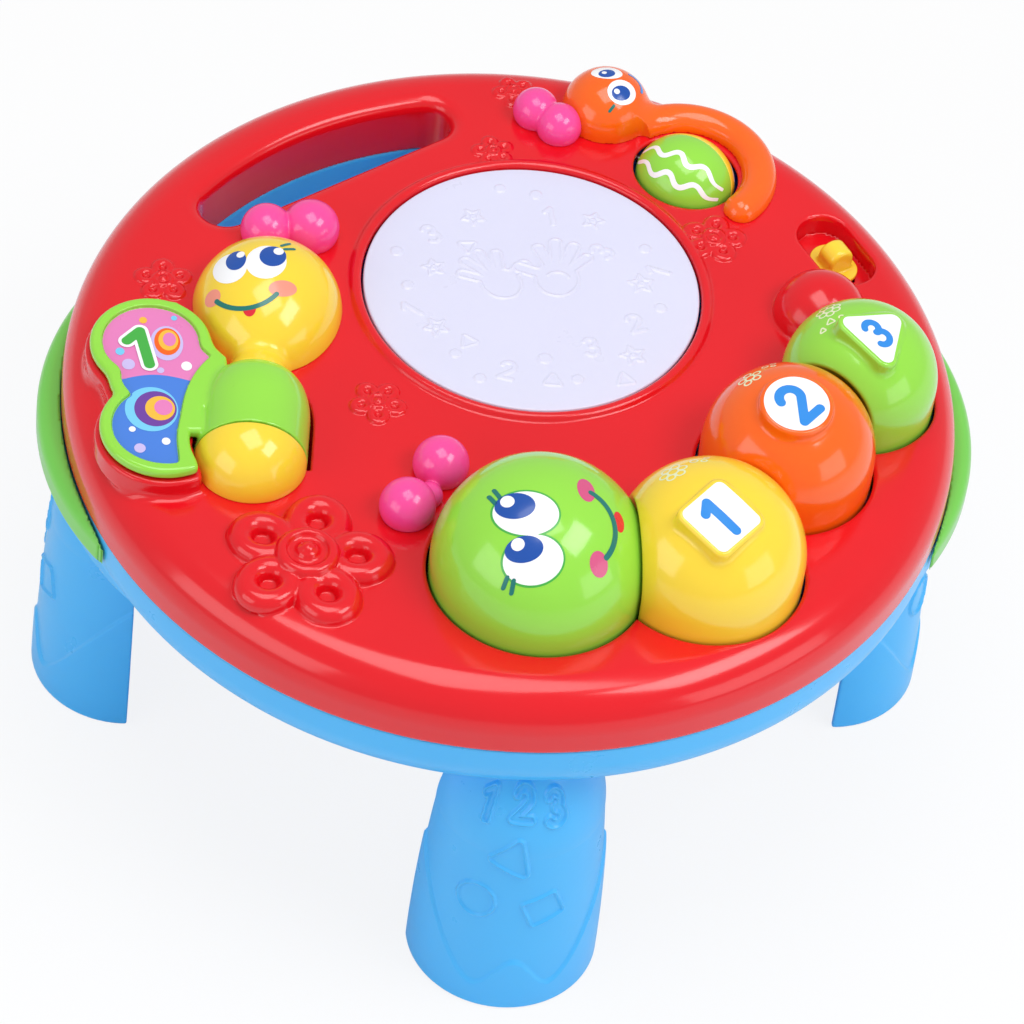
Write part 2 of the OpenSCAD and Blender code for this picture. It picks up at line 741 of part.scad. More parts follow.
module wing_picture() {
    color(pink) translate([0, 0, top_z + wing_z + wing_t - 1.4]) linear_extrude(0.4) difference() {
        wing_plan(-wing_border - fit_gap);
        along_bug(0, 0) translate([-fit_gap, 0]) projection_free_band();
    }
}

// ---- snail ----
module snail_body() {
    color(orange) {
        difference() {
            union() {
                at(snail_head_at, top_z - arch_foot) cylinder(r = snail_head_r, h = arch_foot + snail_skirt);
                at(snail_head_at, top_z + snail_skirt) sphere(r = snail_head_r);
                at(snail_at, top_z) rotate([0, 0, arch_from]) {
                    rotate_extrude(angle = arch_span) translate([arch_r, 0]) {
                        circle(r = arch_tube_r);
                        translate([-arch_tube_r, -arch_foot]) square([2 * arch_tube_r, arch_foot]);
                    }
                    translate([arch_r, 0, 0]) {
                        sphere(r = arch_tube_r);
                        translate([0, 0, -arch_foot]) cylinder(r = arch_tube_r, h = arch_foot);
                    }
                }
            }
            upper_form(0);
            translate([0, 0, parting_z - over]) cylinder(r = table_r, h = over + 2);
            roller_form(roller_gap);
            at(snail_head_at, top_z) cylinder(r = snail_head_r - wall, h = snail_skirt);
            at(snail_head_at, top_z + snail_skirt) sphere(r = snail_head_r - wall);
        }
        pegs(snail_pegs);
        for (p = [snail_pegs[0], snail_pegs[1]]) at(p, top_z)
            cylinder(r = peg_r, h = snail_skirt + snail_head_r - wall + touch, $fn = 32);
    }
}
module roller_half(side) {
    difference() {
        roller_form(0);
        at(snail_at, roller_z) rotate([0, 0, roller_turn]) rotate([0, 0, side > 0 ? 0 : 180])
            translate([-50, -100 + roller_seam / 2, -50]) cube([100, 100, 100]);
        at(snail_at, roller_z) rotate([0, 0, roller_turn]) intersection() {
            sphere(r = roller_r - 2 * wall);
            cube([2 * roller_l - 12, 60, 60], center = true);
        }
        roller_pin_form(run_gap, roller_pin_half);
    }
}
module roller_green_half() { color(green) roller_half(-1); }
module roller_yellow_half() { color(yellow) roller_half(1); }
module roller_pin() { color("silver") roller_pin_form(0, roller_l + roller_gap + ear_t - fit_gap); }

// ---- mode switch ----
module switch_knob() {
    color(yellow) in_well(top_z - well_depth) {
        translate([0, 0, touch]) linear_extrude(1.6) oval(slot_l - 2, well_w - 5);
        translate([0, 0, touch]) linear_extrude(well_depth + 2) oval(10, 7);
        translate([0, 0, -wall - 5]) linear_extrude(wall + 6) oval(8, 5);
    }
}
module slide_switch() {
    color("silver") in_well(top_z - well_depth - wall - 14) difference() {
        linear_extrude(13.5) square([slot_l + 8, 14], center = true);
        translate([0, 0, 6]) linear_extrude(9) oval(slot_l + 2, 7);
    }
}

// ---- electronics ----
module main_board() {
    color("darkgreen") difference() {
        at([pad_x, pad_y], board_z) translate([-main_w / 2, -main_d / 2, 0]) cube([main_w, main_d, board_t]);
        for (p = main_posts) at(p + [pad_x, pad_y], board_z - over)
            cylinder(r = screw_r + fit_gap, h = 4, $fn = 24);
    }
}
module lamps() {
    color("white") for (a = [30, 102, 174, 246, 318])
        at([pad_x + 17 * cos(a), pad_y + 17 * sin(a)], board_top) {
            cylinder(r = 2.5, h = 6, $fn = 32);
            translate([0, 0, 6]) sphere(r = 2.5, $fn = 32);
        }
}
module sound_chip() { color("dimgray") at([pad_x - 8, pad_y - 6], board_top) cube([16, 12, 2.4]); }
module key_board() {
    color("darkgreen") difference() {
        union() for (i = [0:2]) translate([0, 0, board_z])
            bar([keys[i][0], keys[i][1]], [keys[i + 1][0], keys[i + 1][1]], key_board_w, board_t);
        for (p = key_board_posts) at(p, board_z - over) cylinder(r = screw_r + fit_gap, h = 4, $fn = 24);
    }
}
module board_screws() {
    color("silver") for (p = board_posts) at(p, 0) {
        translate([0, 0, board_z - 7]) cylinder(r = thread_r, h = 7 + board_t, $fn = 24);
        translate([0, 0, board_top]) cylinder(r = screw_head_r, h = 1.6, $fn = 24);
    }
}
module shell_screws() {
    color("silver") posts_place() {
        translate([0, 0, base_z + 7]) cylinder(r = thread_r, h = base_h + 4, $fn = 24);
        translate([0, 0, base_z + 5]) cylinder(r = screw_head_r, h = 2, $fn = 24);
    }
}
module loudspeaker() {
    color("dimgray") at(speaker_at, floor_z) {
        difference() {
            cylinder(r1 = speaker_r, r2 = speaker_r * 0.55, h = speaker_h * 0.6);
            translate([0, 0, -over]) cylinder(r1 = speaker_r - 2, r2 = speaker_r * 0.3, h = speaker_h * 0.5);
        }
        translate([0, 0, speaker_h * 0.6]) cylinder(r = speaker_r * 0.6, h = speaker_h * 0.4);
    }
}
module battery_cover() {
    color(blue) difference() {
        union() {
            at(box_at, base_z) translate([-cover_l / 2 + fit_gap, -cover_w / 2 + fit_gap, 0])
                cube([cover_l - 2 * fit_gap, cover_w - 2 * fit_gap, cover_t]);
            at(box_at, base_z) translate([-cover_l / 2 - tab_l + fit_gap, -tab_w / 2 + fit_gap, 0])
                cube([2 * tab_l, tab_w - 2 * fit_gap, cover_t]);
        }
        cover_screw_place() translate([0, 0, -over])
            cylinder(r = screw_r + fit_gap, h = cover_t + 2 * over, $fn = 24);
    }
}
module cover_screw_place() { at(box_at, base_z) translate([cover_l / 2 - 4, 0, 0]) children(); }
module cover_screw() {
    color("silver") cover_screw_place() {
        translate([0, 0, -0.6]) cylinder(r = 2 * screw_r, h = 0.6, $fn = 24);
        cylinder(r = screw_r, h = 8, $fn = 24);
    }
}
module cells() {
    color("goldenrod") for (n = [-1:1]) at(box_at, base_z + cover_t + 0.4 + cell_d / 2)
        translate([-cell_l / 2 - 2, n * (cell_d + 0.5), 0]) rotate([0, 90, 0]) {
            cylinder(d = cell_d, h = cell_l - 1.2);
            translate([0, 0, cell_l - 1.2]) cylinder(d = 5.2, h = 1.2, $fn = 32);
        }
}
module cell_contacts() {
    color("silver") for (n = [-1:1]) for (s = [0, 1])
        at(box_at, base_z + cover_t + 2)
            translate([s > 0 ? cell_l / 2 - 1.8 : -cell_l / 2 - 3.4, n * (cell_d + 0.5) - 5, 0])
                cube([1.2, 10, 11]);
}

top_shell();
bottom_shell();
side_lobe_left();
side_lobe_right();
leg_front();
leg_right();
leg_back();
leg_left();
drum_pad();
drum_contacts();
worm_head();
key_one();
key_two();
key_three();
head_contact();
key_one_contact();
key_two_contact();
key_three_contact();
worm_feelers();
butterfly_feelers();
snail_feelers();
butterfly_head();
butterfly_tail();
wing_axle();
wing_page();
wing_picture();
snail_body();
roller_green_half();
roller_yellow_half();
roller_pin();
switch_knob();
slide_switch();
main_board();
lamps();
sound_chip();
key_board();
board_screws();
shell_screws();
loudspeaker();
battery_cover();
cover_screw();
cells();
cell_contacts();
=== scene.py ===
"""Looks of the musical activity table: shapes, prints, materials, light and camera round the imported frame.

Every piece is worked out here from signed distance functions in millimetres, with z from the floor.
"""

import math
from functools import reduce
from math import cos, pi, radians, sin

import bpy
import numpy as np
from numpy import clip, hypot, where
from mathutils import Matrix, Vector


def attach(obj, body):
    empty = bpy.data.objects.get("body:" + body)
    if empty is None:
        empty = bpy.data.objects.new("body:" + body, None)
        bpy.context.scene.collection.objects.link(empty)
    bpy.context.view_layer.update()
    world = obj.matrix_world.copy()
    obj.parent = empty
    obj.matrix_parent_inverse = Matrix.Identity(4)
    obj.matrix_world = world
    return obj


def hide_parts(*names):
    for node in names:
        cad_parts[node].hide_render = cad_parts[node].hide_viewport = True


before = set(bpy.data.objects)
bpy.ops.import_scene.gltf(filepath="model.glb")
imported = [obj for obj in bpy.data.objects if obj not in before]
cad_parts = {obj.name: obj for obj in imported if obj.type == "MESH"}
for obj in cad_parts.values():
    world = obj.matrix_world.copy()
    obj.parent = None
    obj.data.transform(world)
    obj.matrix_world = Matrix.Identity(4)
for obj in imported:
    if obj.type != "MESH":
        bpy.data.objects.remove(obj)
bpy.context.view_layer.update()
COARSE = 1.0  # quick tries use a coarser grid

# ---- sizes, in mm
TOP = 158.0
PARTING = 134.0
BASE = 108.0
TABLE_R = 160.5
WALL = 2.4
PAD = (9.0, 38.5)
PAD_R = 61.0
KEY_GAP = 0.7
# x, y, radius, straight skirt of the head and the three keys
KEYS = ((1.0, -98.0, 38.0, 5.0), (60.0, -96.0, 34.0, 7.5), (92.5, -48.0, 31.0, 9.0),
        (122.0, -12.0, 28.0, 9.0))
TAIL = (-96.5, -48.0)
BUG_Z = TOP + 1.0
BUG_TURN = radians(6)
BUG_HEAD = (-87.0, 28.0)
BAND_L = 35.0
BUG_R = 20.0
NECK_R = 13.5
WING_LOW = TOP + 7.5
WING_TOP = WING_LOW + 4.5
SNAIL = (71.0, 100.0)
SNAIL_HEAD = (43.5, 130.5)
ROLLER_TURN = radians(-35)
ROLLER_Z = TOP - 4.6
WELL = (123.0, 61.0)
WELL_TURN = radians(-64)
GRIP_TURN = radians(121)
GRIP_NEAR, GRIP_FAR, GRIP_END = 111.0, 137.0, 9.0  # both sides of the opening from the middle, and its ends
EDGE = 16.0  # rounding of the upper shell's edge
TRAY_R, TRAY_EDGE = 160.0, 18.0
LOBE_IN = 60.0  # centre of a side lobe's arc from the middle
BUG_HEAD_R = 27.0
SNAIL_HEAD_R = 16.5
ARCH_R, TUBE_R = 27.2, 6.5  # the snail's arch and its tube
ARCH_REST, ARCH_HALF = radians(39), radians(86)  # middle of the arch, and half its span
ROLLER_A, ROLLER_B = 19.0, 17.3  # half axes of the roller
ROLLER_GAP = 1.2
SNAIL_LOW = TOP - 8.0  # lower edge of the snail, inside the case
PLATFORM_Z = WING_LOW - 0.3
CARD_Z = WING_TOP - 1.4  # floor of the wing's recess
LEG_AT = 132.0  # a leg's axis from the middle
LEG_BEND, LEG_TOP = 78.0, 113.0  # heights where a leg's side starts to lean in, and where it ends
SKIN = 2.2  # wall of the keys
LAYER = 0.05  # from one printed layer to the next


# ---- distance helpers
def least(*fields):
    return reduce(np.minimum, fields)


def most(*fields):
    return reduce(np.maximum, fields)


def hyp(*parts):
    return np.sqrt(sum(p * p for p in parts))


def wedge(p, q):
    """Distance to the corner between two faces whose own distances are p and q."""
    return least(most(p, q), 0.0) + hypot(most(p, 0.0), most(q, 0.0))


def unit(v):
    return np.asarray(v, float) / np.linalg.norm(v)


def unit_rows(rows, tiny=1e-6):
    return rows / most(np.sqrt((rows * rows).sum(1)), tiny)[:, None]


def smin(a, b, k):
    h = clip(0.5 + 0.5 * (b - a) / k, 0.0, 1.0)
    return b + (a - b) * h - k * h * (1.0 - h)


def smax(a, b, k):
    return -smin(-a, -b, k)


def ball(x, y, z, c, r):
    return hyp(x - c[0], y - c[1], z - c[2]) - r


def disc(x, y, c, r):
    return hypot(x - c[0], y - c[1]) - r


def turned(x, y, c, a):
    """Coordinates in a frame at c whose own x axis points along the angle a."""
    dx, dy = x - c[0], y - c[1]
    return dx * cos(a) + dy * sin(a), dy * cos(a) - dx * sin(a)


def box2(u, v, hu, hv, r=0.0):
    return wedge(np.abs(u) - hu + r, np.abs(v) - hv + r) - r


def oval2(u, v, length, width):
    du = most(np.abs(u) - (length - width) / 2.0, 0.0)
    return hypot(du, v) - width / 2.0


def slab(plan, z, low, high, r=0.0):
    """A plan raised between two heights, with its edges rounded by r."""
    dz = np.abs(z - (low + high) / 2.0) - (high - low) / 2.0
    return wedge(plan + r, dz + r) - r


def segment2(u, v, a, b):
    """Distance to a straight stroke."""
    ax, ay = a
    bx, by = b[0] - ax, b[1] - ay
    t = clip(((u - ax) * bx + (v - ay) * by) / (bx * bx + by * by), 0.0, 1.0)
    return hypot(u - ax - t * bx, v - ay - t * by)


def arc2(u, v, c, r, a0, a1):
    """Distance to a round stroke from the angle a0 to a1, in degrees, counter-clockwise."""
    mid, half = radians((a0 + a1) / 2.0), radians((a1 - a0) / 2.0)
    du, dv = u - c[0], v - c[1]
    p, q = du * cos(mid) + dv * sin(mid), np.abs(dv * cos(mid) - du * sin(mid))
    inside = np.arctan2(q, p) <= half
    end = hypot(p - r * cos(half), q - r * sin(half))
    return where(inside, np.abs(hypot(du, dv) - r), end)


def polygon2(u, v, points):
    """Signed distance to a closed polygon."""
    best = np.full(np.shape(u), 1e9)
    sign = np.ones(np.shape(u))
    n = len(points)
    for i in range(n):
        ax, ay = points[i]
        bx, by = points[(i + 1) % n]
        best = least(best, segment2(u, v, (ax, ay), (bx, by)))
        cross = ((ay <= v) & (by > v)) | ((by <= v) & (ay > v))
        side = (bx - ax) * (v - ay) - (by - ay) * (u - ax)
        hit = cross & where(by > ay, side > 0, side < 0)
        sign = where(hit, -sign, sign)
    return best * sign


def ellipse2(u, v, c, a, b, turn=0.0):
    p, q = turned(u, v, c, turn)
    k0 = hypot(p / a, q / b)
    k1 = most(hypot(p / (a * a), q / (b * b)), 1e-6)
    return k0 * (k0 - 1.0) / k1


# ---- meshing
CORNERS = [(i, j, k) for i in (0, 1) for j in (0, 1) for k in (0, 1)]
EDGES = [(a, b) for a in range(8) for b in range(a + 1, 8)
         if sum(abs(CORNERS[a][n] - CORNERS[b][n]) for n in range(3)) == 1]


def gradient(fn, p, e=0.02):
    g = np.empty_like(p)
    for n in range(3):
        hi, lo = p.T.copy(), p.T.copy()
        hi[n] += e
        lo[n] -= e
        g[:, n] = (fn(*hi) - fn(*lo)) / (2 * e)
    return g


BATCH = 600  # blocks worked out at a time
BLOCK_REACH = 1.305  # half a block's diagonal in blocks, half as much again where a field is no true distance


def surface(fn, low, high, step, block=8):
    """Vertices, quads and normals of the surface fn = 0 inside a box, on a grid of that step."""
    step *= COARSE
    low, high = np.array(low, float), np.array(high, float)
    size = step * block
    nb = most(np.ceil((high - low) / size).astype(int), 1)
    idx = np.stack(np.meshgrid(*[np.arange(n) for n in nb], indexing="ij"), -1).reshape(-1, 3)
    mid = low + (idx + 0.5) * size
    idx = idx[np.abs(fn(*mid.T)) < size * BLOCK_REACH + 1.0]
    grid = np.stack(np.meshgrid(*[np.arange(block + 1)] * 3, indexing="ij"), -1).reshape(-1, 3)
    big = (nb * block + 2).astype(np.int64)

    def code(c):
        c = c + 1
        return (c[..., 0] * big[1] + c[..., 1]) * big[2] + c[..., 2]

    keys, points, quads = [], [], []
    for start in range(0, len(idx), BATCH):
        part = idx[start:start + BATCH]
        cell = part[:, None, :] * block + grid[None]
        p = low + cell * step
        val = fn(*p.reshape(-1, 3).T).reshape(len(part), *[block + 1] * 3)
        val = where(val == 0.0, 1e-9, val)
        neg = val < 0
        count = sum(neg[:, i:i + block, j:j + block, k:k + block].astype(np.int8) for i, j, k in CORNERS)
        b, i, j, k = np.nonzero((count > 0) & (count < 8))
        if len(b):
            cv = np.stack([val[b, i + c[0], j + c[1], k + c[2]] for c in CORNERS], 1)
            acc, num = np.zeros((len(b), 3)), np.zeros(len(b))
            for a, c in EDGES:
                va, vc = cv[:, a], cv[:, c]
                hit = (va < 0) != (vc < 0)
                t = where(hit, va / where(hit, va - vc, 1.0), 0.0)
                pa, pc = np.array(CORNERS[a], float), np.array(CORNERS[c], float)
                acc += where(hit[:, None], pa + t[:, None] * (pc - pa), 0.0)
                num += hit
            own = part[b] * block + np.stack([i, j, k], 1)
            keys.append(code(own))
            points.append(low + (own + acc / num[:, None]) * step)
        for axis in range(3):
            o1, o2 = [n for n in range(3) if n != axis]
            first = neg[:, :block, :block, :block]
            shift = [slice(0, block)] * 3
            shift[axis] = slice(1, block + 1)
            second = neg[(slice(None), *shift)]
            b, i, j, k = np.nonzero(first != second)
            if not len(b):
                continue
            base = part[b] * block + np.stack([i, j, k], 1)
            ring = []
            for d1, d2 in ((0, 0), (-1, 0), (-1, -1), (0, -1)):
                c = base.copy()
                c[:, o1] += d1
                c[:, o2] += d2
                ring.append(code(c))
            ring = np.stack(ring, 1)
            flip = first[b, i, j, k] != (axis == 1)
            quads.append(where(flip[:, None], ring, ring[:, ::-1]))
    keys, points, quads = np.concatenate(keys), np.concatenate(points), np.concatenate(quads)
    order = np.argsort(keys)
    keys, points = keys[order], points[order]
    at = least(np.searchsorted(keys, quads), len(keys) - 1)
    quads = at[(keys[at] == quads).all(1)]
    home = points.copy()
    for _ in range(3):
        g = gradient(fn, points)
        g2 = most((g * g).sum(1), 0.05)
        off = points - g * (fn(*points.T) / g2)[:, None] - home
        far = np.sqrt((off * off).sum(1)) / (0.7 * step)
        points = home + off / most(far, 1.0)[:, None]
    normals = unit_rows(gradient(fn, points))
    # where a face turned against its corners' normals, the corners go back and take the faces' own normals
    face = face_normals(points, quads)
    bent = (face[:, None] * normals[quads]).sum(-1).min(1) < 0.1
    back = np.unique(quads[bent])
    points[back] = home[back]
    face = face_normals(points, quads)
    own = np.stack([sum(np.bincount(quads[:, n], face[:, k], len(points)) for n in range(4))
                    for k in range(3)], 1)
    normals[back] = unit_rows(own)[back]
    return points, quads, normals


def face_normals(points, quads):
    a, b, c, d = (points[quads[:, n]] for n in range(4))
    return unit_rows(np.cross(c - a, d - b), 1e-9)


def make_mesh(name, points, faces, normals):
    """A smooth mesh object from points in millimetres and rows of corner numbers."""
    me = bpy.data.meshes.new(name)
    me.vertices.add(len(points))
    me.vertices.foreach_set("co", (points * 0.001).astype(np.float32).ravel())
    me.loops.add(faces.size)
    me.loops.foreach_set("vertex_index", faces.astype(np.int32).ravel())
    me.polygons.add(len(faces))
    me.polygons.foreach_set("loop_start", np.arange(0, faces.size, faces.shape[1], dtype=np.int32))
    me.update(calc_edges=True)
    me.polygons.foreach_set("use_smooth", np.ones(len(faces), bool))
    me.normals_split_custom_set_from_vertices(normals.astype(np.float32).tolist())
    o = bpy.data.objects.new(name, me)
    bpy.context.scene.collection.objects.link(o)
    return o


def march(fn, low, high, step):
    """Triangles filling the region fn < 0 of a plane box, with its rim on fn = 0."""
    nu, nv = (int(math.ceil((high[n] - low[n]) / step)) for n in (0, 1))
    u, v = low[0] + step * np.arange(nu + 1), low[1] + step * np.arange(nv + 1)
    U, V = np.meshgrid(u, v, indexing="ij")
    F = fn(U.ravel(), V.ravel()).reshape(U.shape)
    F = where(F == 0, 1e-9, F)
    off = [(0, 0), (1, 0), (1, 1), (0, 1)]  # corners of a cell; edge n runs from corner n to n + 1
    c = [F[a:nu + a, b:nv + b] for a, b in off]
    case = sum((c[n] < 0).astype(int) << n for n in range(4))
    P, T, at = [], [], 0

    def corner(i, j, n):
        return np.stack([u[i + off[n][0]], v[j + off[n][1]]], 1)

    def cross(i, j, n):
        m = (n + 1) % 4
        fa, fb = c[n][i, j], c[m][i, j]
        t = (fa / (fa - fb))[:, None]
        return corner(i, j, n) * (1 - t) + corner(i, j, m) * t

    for kind in range(1, 16):
        i, j = np.nonzero(case == kind)
        if not len(i):
            continue
        inside = [bool(kind >> n & 1) for n in range(4)]
        ring = []
        for n in range(4):
            if inside[n]:
                ring.append(corner(i, j, n))
            if inside[n] != inside[(n + 1) % 4]:
                ring.append(cross(i, j, n))
        for n in range(1, len(ring) - 1):
            P += [ring[0], ring[n], ring[n + 1]]
            T.append(np.arange(at, at + 3 * len(i)).reshape(3, -1).T)
            at += 3 * len(i)
    P, T = np.concatenate(P), np.concatenate(T)
    key = np.round(P / step * 4096).astype(np.int64)
    _, first, inv = np.unique(key, axis=0, return_index=True, return_inverse=True)
    T = inv.ravel()[T]
    T = T[(T[:, 0] != T[:, 1]) & (T[:, 1] != T[:, 2]) & (T[:, 0] != T[:, 2])]
    return P[first], T


def print_on(name, fn, low, high, step, place, target, ink, body, layer):
    """A thin printed film: the plane region fn < 0 laid on a distance function.

    place is (origin, u axis, v axis, direction of view); the film travels that way until it meets the target.
    """
    step *= COARSE
    P, T = march(fn, low, high, step)
    ua, va, way = (unit(a) for a in place[1:])
    Q = place[0] + P[:, :1] * ua + P[:, 1:] * va
    for _ in range(60):
        f = target(*Q.T)
        Q = Q + way * clip(f, -2.0, 2.0)[:, None] * 0.85
    N = unit_rows(gradient(target, Q))
    Q = Q + N * (LAYER * layer)
    a, b, c = Q[T.T]
    face = np.cross(b - a, c - a)
    back = (face * N[T[:, 0]]).sum(1) < 0
    T = where(back[:, None], T[:, ::-1], T)
    o = make_mesh(name, Q, T, N)
    o.data.materials.append(ink)
    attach(o, body)
    return o


# ---- materials
def node_of(tree, kind, **inputs):
    n = tree.nodes.new(kind)
    for k, v in inputs.items():
        n.inputs[k].default_value = v
    return n


def wire(tree, source, out, target, socket):
    tree.links.new(source.outputs[out], target.inputs[socket])


def linear(colour):
    """Linear values of a colour from 0 to 255 screen values."""
    shares = [c / 255.0 for c in colour]
    return [c / 12.92 if c <= 0.04045 else ((c + 0.055) / 1.055) ** 2.4 for c in shares]


def plastic(name, colour, rough=0.3, coat=0.3, mottle=0.035, grain=0.012, glow=0.0, metal=0.0, scratch=0.03):
    """Moulded plastic: flow marks in the colour, fine wear in the gloss and a slight orange-peel skin."""
    colour = linear(colour)
    m = bpy.data.materials.new(name)
    m.use_nodes = True
    t = m.node_tree
    place = node_of(t, "ShaderNodeTexCoord")
    flow = node_of(t, "ShaderNodeTexNoise", Scale=9.0, Detail=3.0, Roughness=0.55)
    wear = node_of(t, "ShaderNodeTexNoise", Scale=60.0, Detail=4.0, Roughness=0.6)
    peel = node_of(t, "ShaderNodeTexNoise", Scale=420.0, Detail=2.0, Roughness=0.5)
    for noise in (flow, wear, peel):
        wire(t, place, "Object", noise, "Vector")
    ramp = node_of(t, "ShaderNodeValToRGB")
    for stop, at, part in zip(ramp.color_ramp.elements, (0.3, 0.7), (1.0 - mottle, 1.0 + mottle)):
        stop.position = at
        stop.color = (*(min(c * part, 1.0) for c in colour), 1.0)
    span = node_of(t, "ShaderNodeMapRange", **{
        "From Min": 0.3, "From Max": 0.7, "To Min": max(rough - scratch, 0.02), "To Max": rough + scratch})
    bump = node_of(t, "ShaderNodeBump", Strength=grain * 4.0, Distance=0.0002)
    s = t.nodes["Principled BSDF"]
    wire(t, flow, "Fac", ramp, "Fac")
    wire(t, wear, "Fac", span, "Value")
    wire(t, peel, "Fac", bump, "Height")
    wire(t, ramp, "Color", s, "Base Color")
    wire(t, span, "Result", s, "Roughness")
    wire(t, bump, "Normal", s, "Normal")
    finish = {"Coat Weight": coat, "Coat Roughness": 0.06, "Metallic": metal, "IOR": 1.5}
    if glow:
        finish.update({"Subsurface Weight": glow, "Subsurface Radius": [c + 0.1 for c in colour],
                       "Subsurface Scale": 0.004})
    for socket, value in finish.items():
        s.inputs[socket].default_value = value
    return m


RED = plastic("red_plastic", (228, 14, 28), rough=0.17, coat=0.2, glow=0.06)
BLUE = plastic("blue_plastic", (70, 186, 255), coat=0.1, grain=0.03, glow=0.08)
GREEN = plastic("green_plastic", (150, 222, 70), rough=0.15, glow=0.08)
LEAF = plastic("lobe_plastic", (120, 210, 84), coat=0.2, glow=0.08)
YELLOW = plastic("yellow_plastic", (255, 216, 58), rough=0.15, glow=0.08)
ORANGE = plastic("orange_plastic", (253, 102, 12), rough=0.15, glow=0.08)
PINK = plastic("pink_plastic", (252, 76, 160), rough=0.18, glow=0.08)
PEARL = plastic("pearl_plastic", (222, 222, 246), coat=0.2, mottle=0.02, glow=0.12)
STEEL = plastic("steel", (190, 192, 196), rough=0.28, coat=0.0, metal=1.0, scratch=0.08)
DARK = plastic("dark_paper", (60, 60, 66), rough=0.6, coat=0.0)
WHITE_INK = plastic("white_ink", (250, 250, 252), rough=0.25, mottle=0.01)
NAVY_INK = plastic("navy_ink", (18, 78, 168), rough=0.22, mottle=0.05)
BLUE_INK = plastic("blue_ink", (44, 140, 226), rough=0.25)
TEAL_INK = plastic("teal_ink", (16, 118, 110), rough=0.25)
ROSE_INK = plastic("rose_ink", (214, 84, 132), rough=0.25)
BLUSH_INK = plastic("blush_ink", (246, 150, 130), rough=0.25)
RED_INK = plastic("red_ink", (224, 32, 50), rough=0.25)
PALE_INK = plastic("pale_ink", (238, 244, 200), rough=0.25)
CARD_PINK = plastic("card_pink", (232, 128, 190))
CARD_BLUE = plastic("card_blue", (70, 128, 222))
LILAC_INK = plastic("lilac_ink", (206, 190, 240))
AMBER_INK = plastic("amber_ink", (250, 190, 60))
CYAN_INK = plastic("cyan_ink", (120, 206, 246))
PURPLE_INK = plastic("purple_ink", (110, 60, 160))
LEAF_INK = plastic("leaf_ink", (66, 176, 66))
BOARD = plastic("board_green", (30, 104, 62), rough=0.45, coat=0.2)
RUBBER = plastic("grey_rubber", (196, 196, 192), rough=0.6, coat=0.0)
CHIP = plastic("black_resin", (34, 34, 36), rough=0.4, coat=0.1)
BRASS = plastic("cell_jacket", (206, 160, 66), metal=0.6)


# ---- plans shared by several pieces
def grip_plan(x, y):
    """The handle opening seen from above: an arc segment with round ends."""
    u, v = turned(x, y, (0, 0), GRIP_TURN - pi / 2)
    # the segment between the two end centres, grown by the ends' radius
    reach, rise = GRIP_FAR - GRIP_END, GRIP_NEAR + GRIP_END
    foot = math.sqrt(reach * reach - rise * rise)
    core = smax(hypot(u, v) - reach, rise - v, 0.01)
    qu = np.abs(u)
    end = hypot(qu - foot, v - rise)
    outside = where(qu * rise - v * foot > 0, end, most(hypot(u, v) - reach, 0.0))
    below = where(v < rise, where(qu > foot, end, rise - v), outside)
    return where(core < 0, core, below) - GRIP_END


def bug_frame(x, y, z):
    """Distance along the butterfly's axis from the tail, sideways, and height over the axis."""
    w, s = turned(x, y, TAIL, -BUG_TURN)
    return s, w, z - BUG_Z


def band_form(x, y, z, grow=0.0):
    """The butterfly's barrel body: a full radius at the tail that falls away towards the neck."""
    s, w, h = bug_frame(x, y, z)
    rad = hypot(w, h)
    a, b = BAND_L / 2.0, BUG_R - NECK_R
    wide = most(rad - BUG_R, s - a)
    core = most(rad - NECK_R, s - BAND_L)
    hip = where((s > a) & (rad > NECK_R), ellipse2(s, rad, (a, NECK_R), a, b), 1e3)
    body = least(wide, core, hip)
    return most(body - grow, -s - grow, s - BAND_L - grow)


WING_LOBES = [(-130.2, -1.0, 21.5), (-126.6, -41.3, 22.8), (-127.0, -17.0, 18.6)]
WING_ROOT = [(-121.0, 17.5), (-111.8, 2.0), (-103.8, -8.0), (-103.4, -13.0), (-112.5, -27.0), (-128.0, -27.0)]


def wing_outline(x, y, grow, blend):
    """The wing seen from above: three round lobes and the pointed root beside the head."""
    d = polygon2(x, y, WING_ROOT) - grow
    for cx, cy, r in WING_LOBES:
        d = smin(d, disc(x, y, (cx, cy), r + grow), blend)
    beside_tail = most(-115.7 + grow - x, y + 44.5 + grow)
    return smax(most(d, -disc(x, y, TAIL, BUG_R + 1.6 - grow)), -beside_tail, 1.2)


def wing_plan(x, y, grow=0.0, blend=3.0):
    d = least(wing_outline(x, y, grow, blend), box2(x + 119.5, y + 27.0, 7.0 + grow, 17.5 + grow))
    return most(d, -disc(x, y, BUG_HEAD, BUG_HEAD_R + 2.2 - grow))


def recess(x, y, grow=0.0):
    """The sunk field of the wing that holds its picture."""
    limit = -122.6 + 13.0 * np.exp((y + 8.6) / 14.0)
    return smax(wing_outline(x, y, -4.2 + grow, 2.0), x - limit - grow, 1.5)


def roller_form(x, y, z, grow=0.0):
    u, v = turned(x, y, SNAIL, ROLLER_TURN)
    return ellipse2(u, hypot(v, z - ROLLER_Z), (0, 0), ROLLER_A + grow, ROLLER_B + grow)


def key_columns(x, y, grow=KEY_GAP):
    return least(*(disc(x, y, (cx, cy), r + grow) for cx, cy, r, _ in KEYS))


def round_top(rho, z, radius, top, e):
    """A turned body below a height, with its upper edge rounded by e."""
    return wedge(rho - (radius - e), z - (top - e)) - e


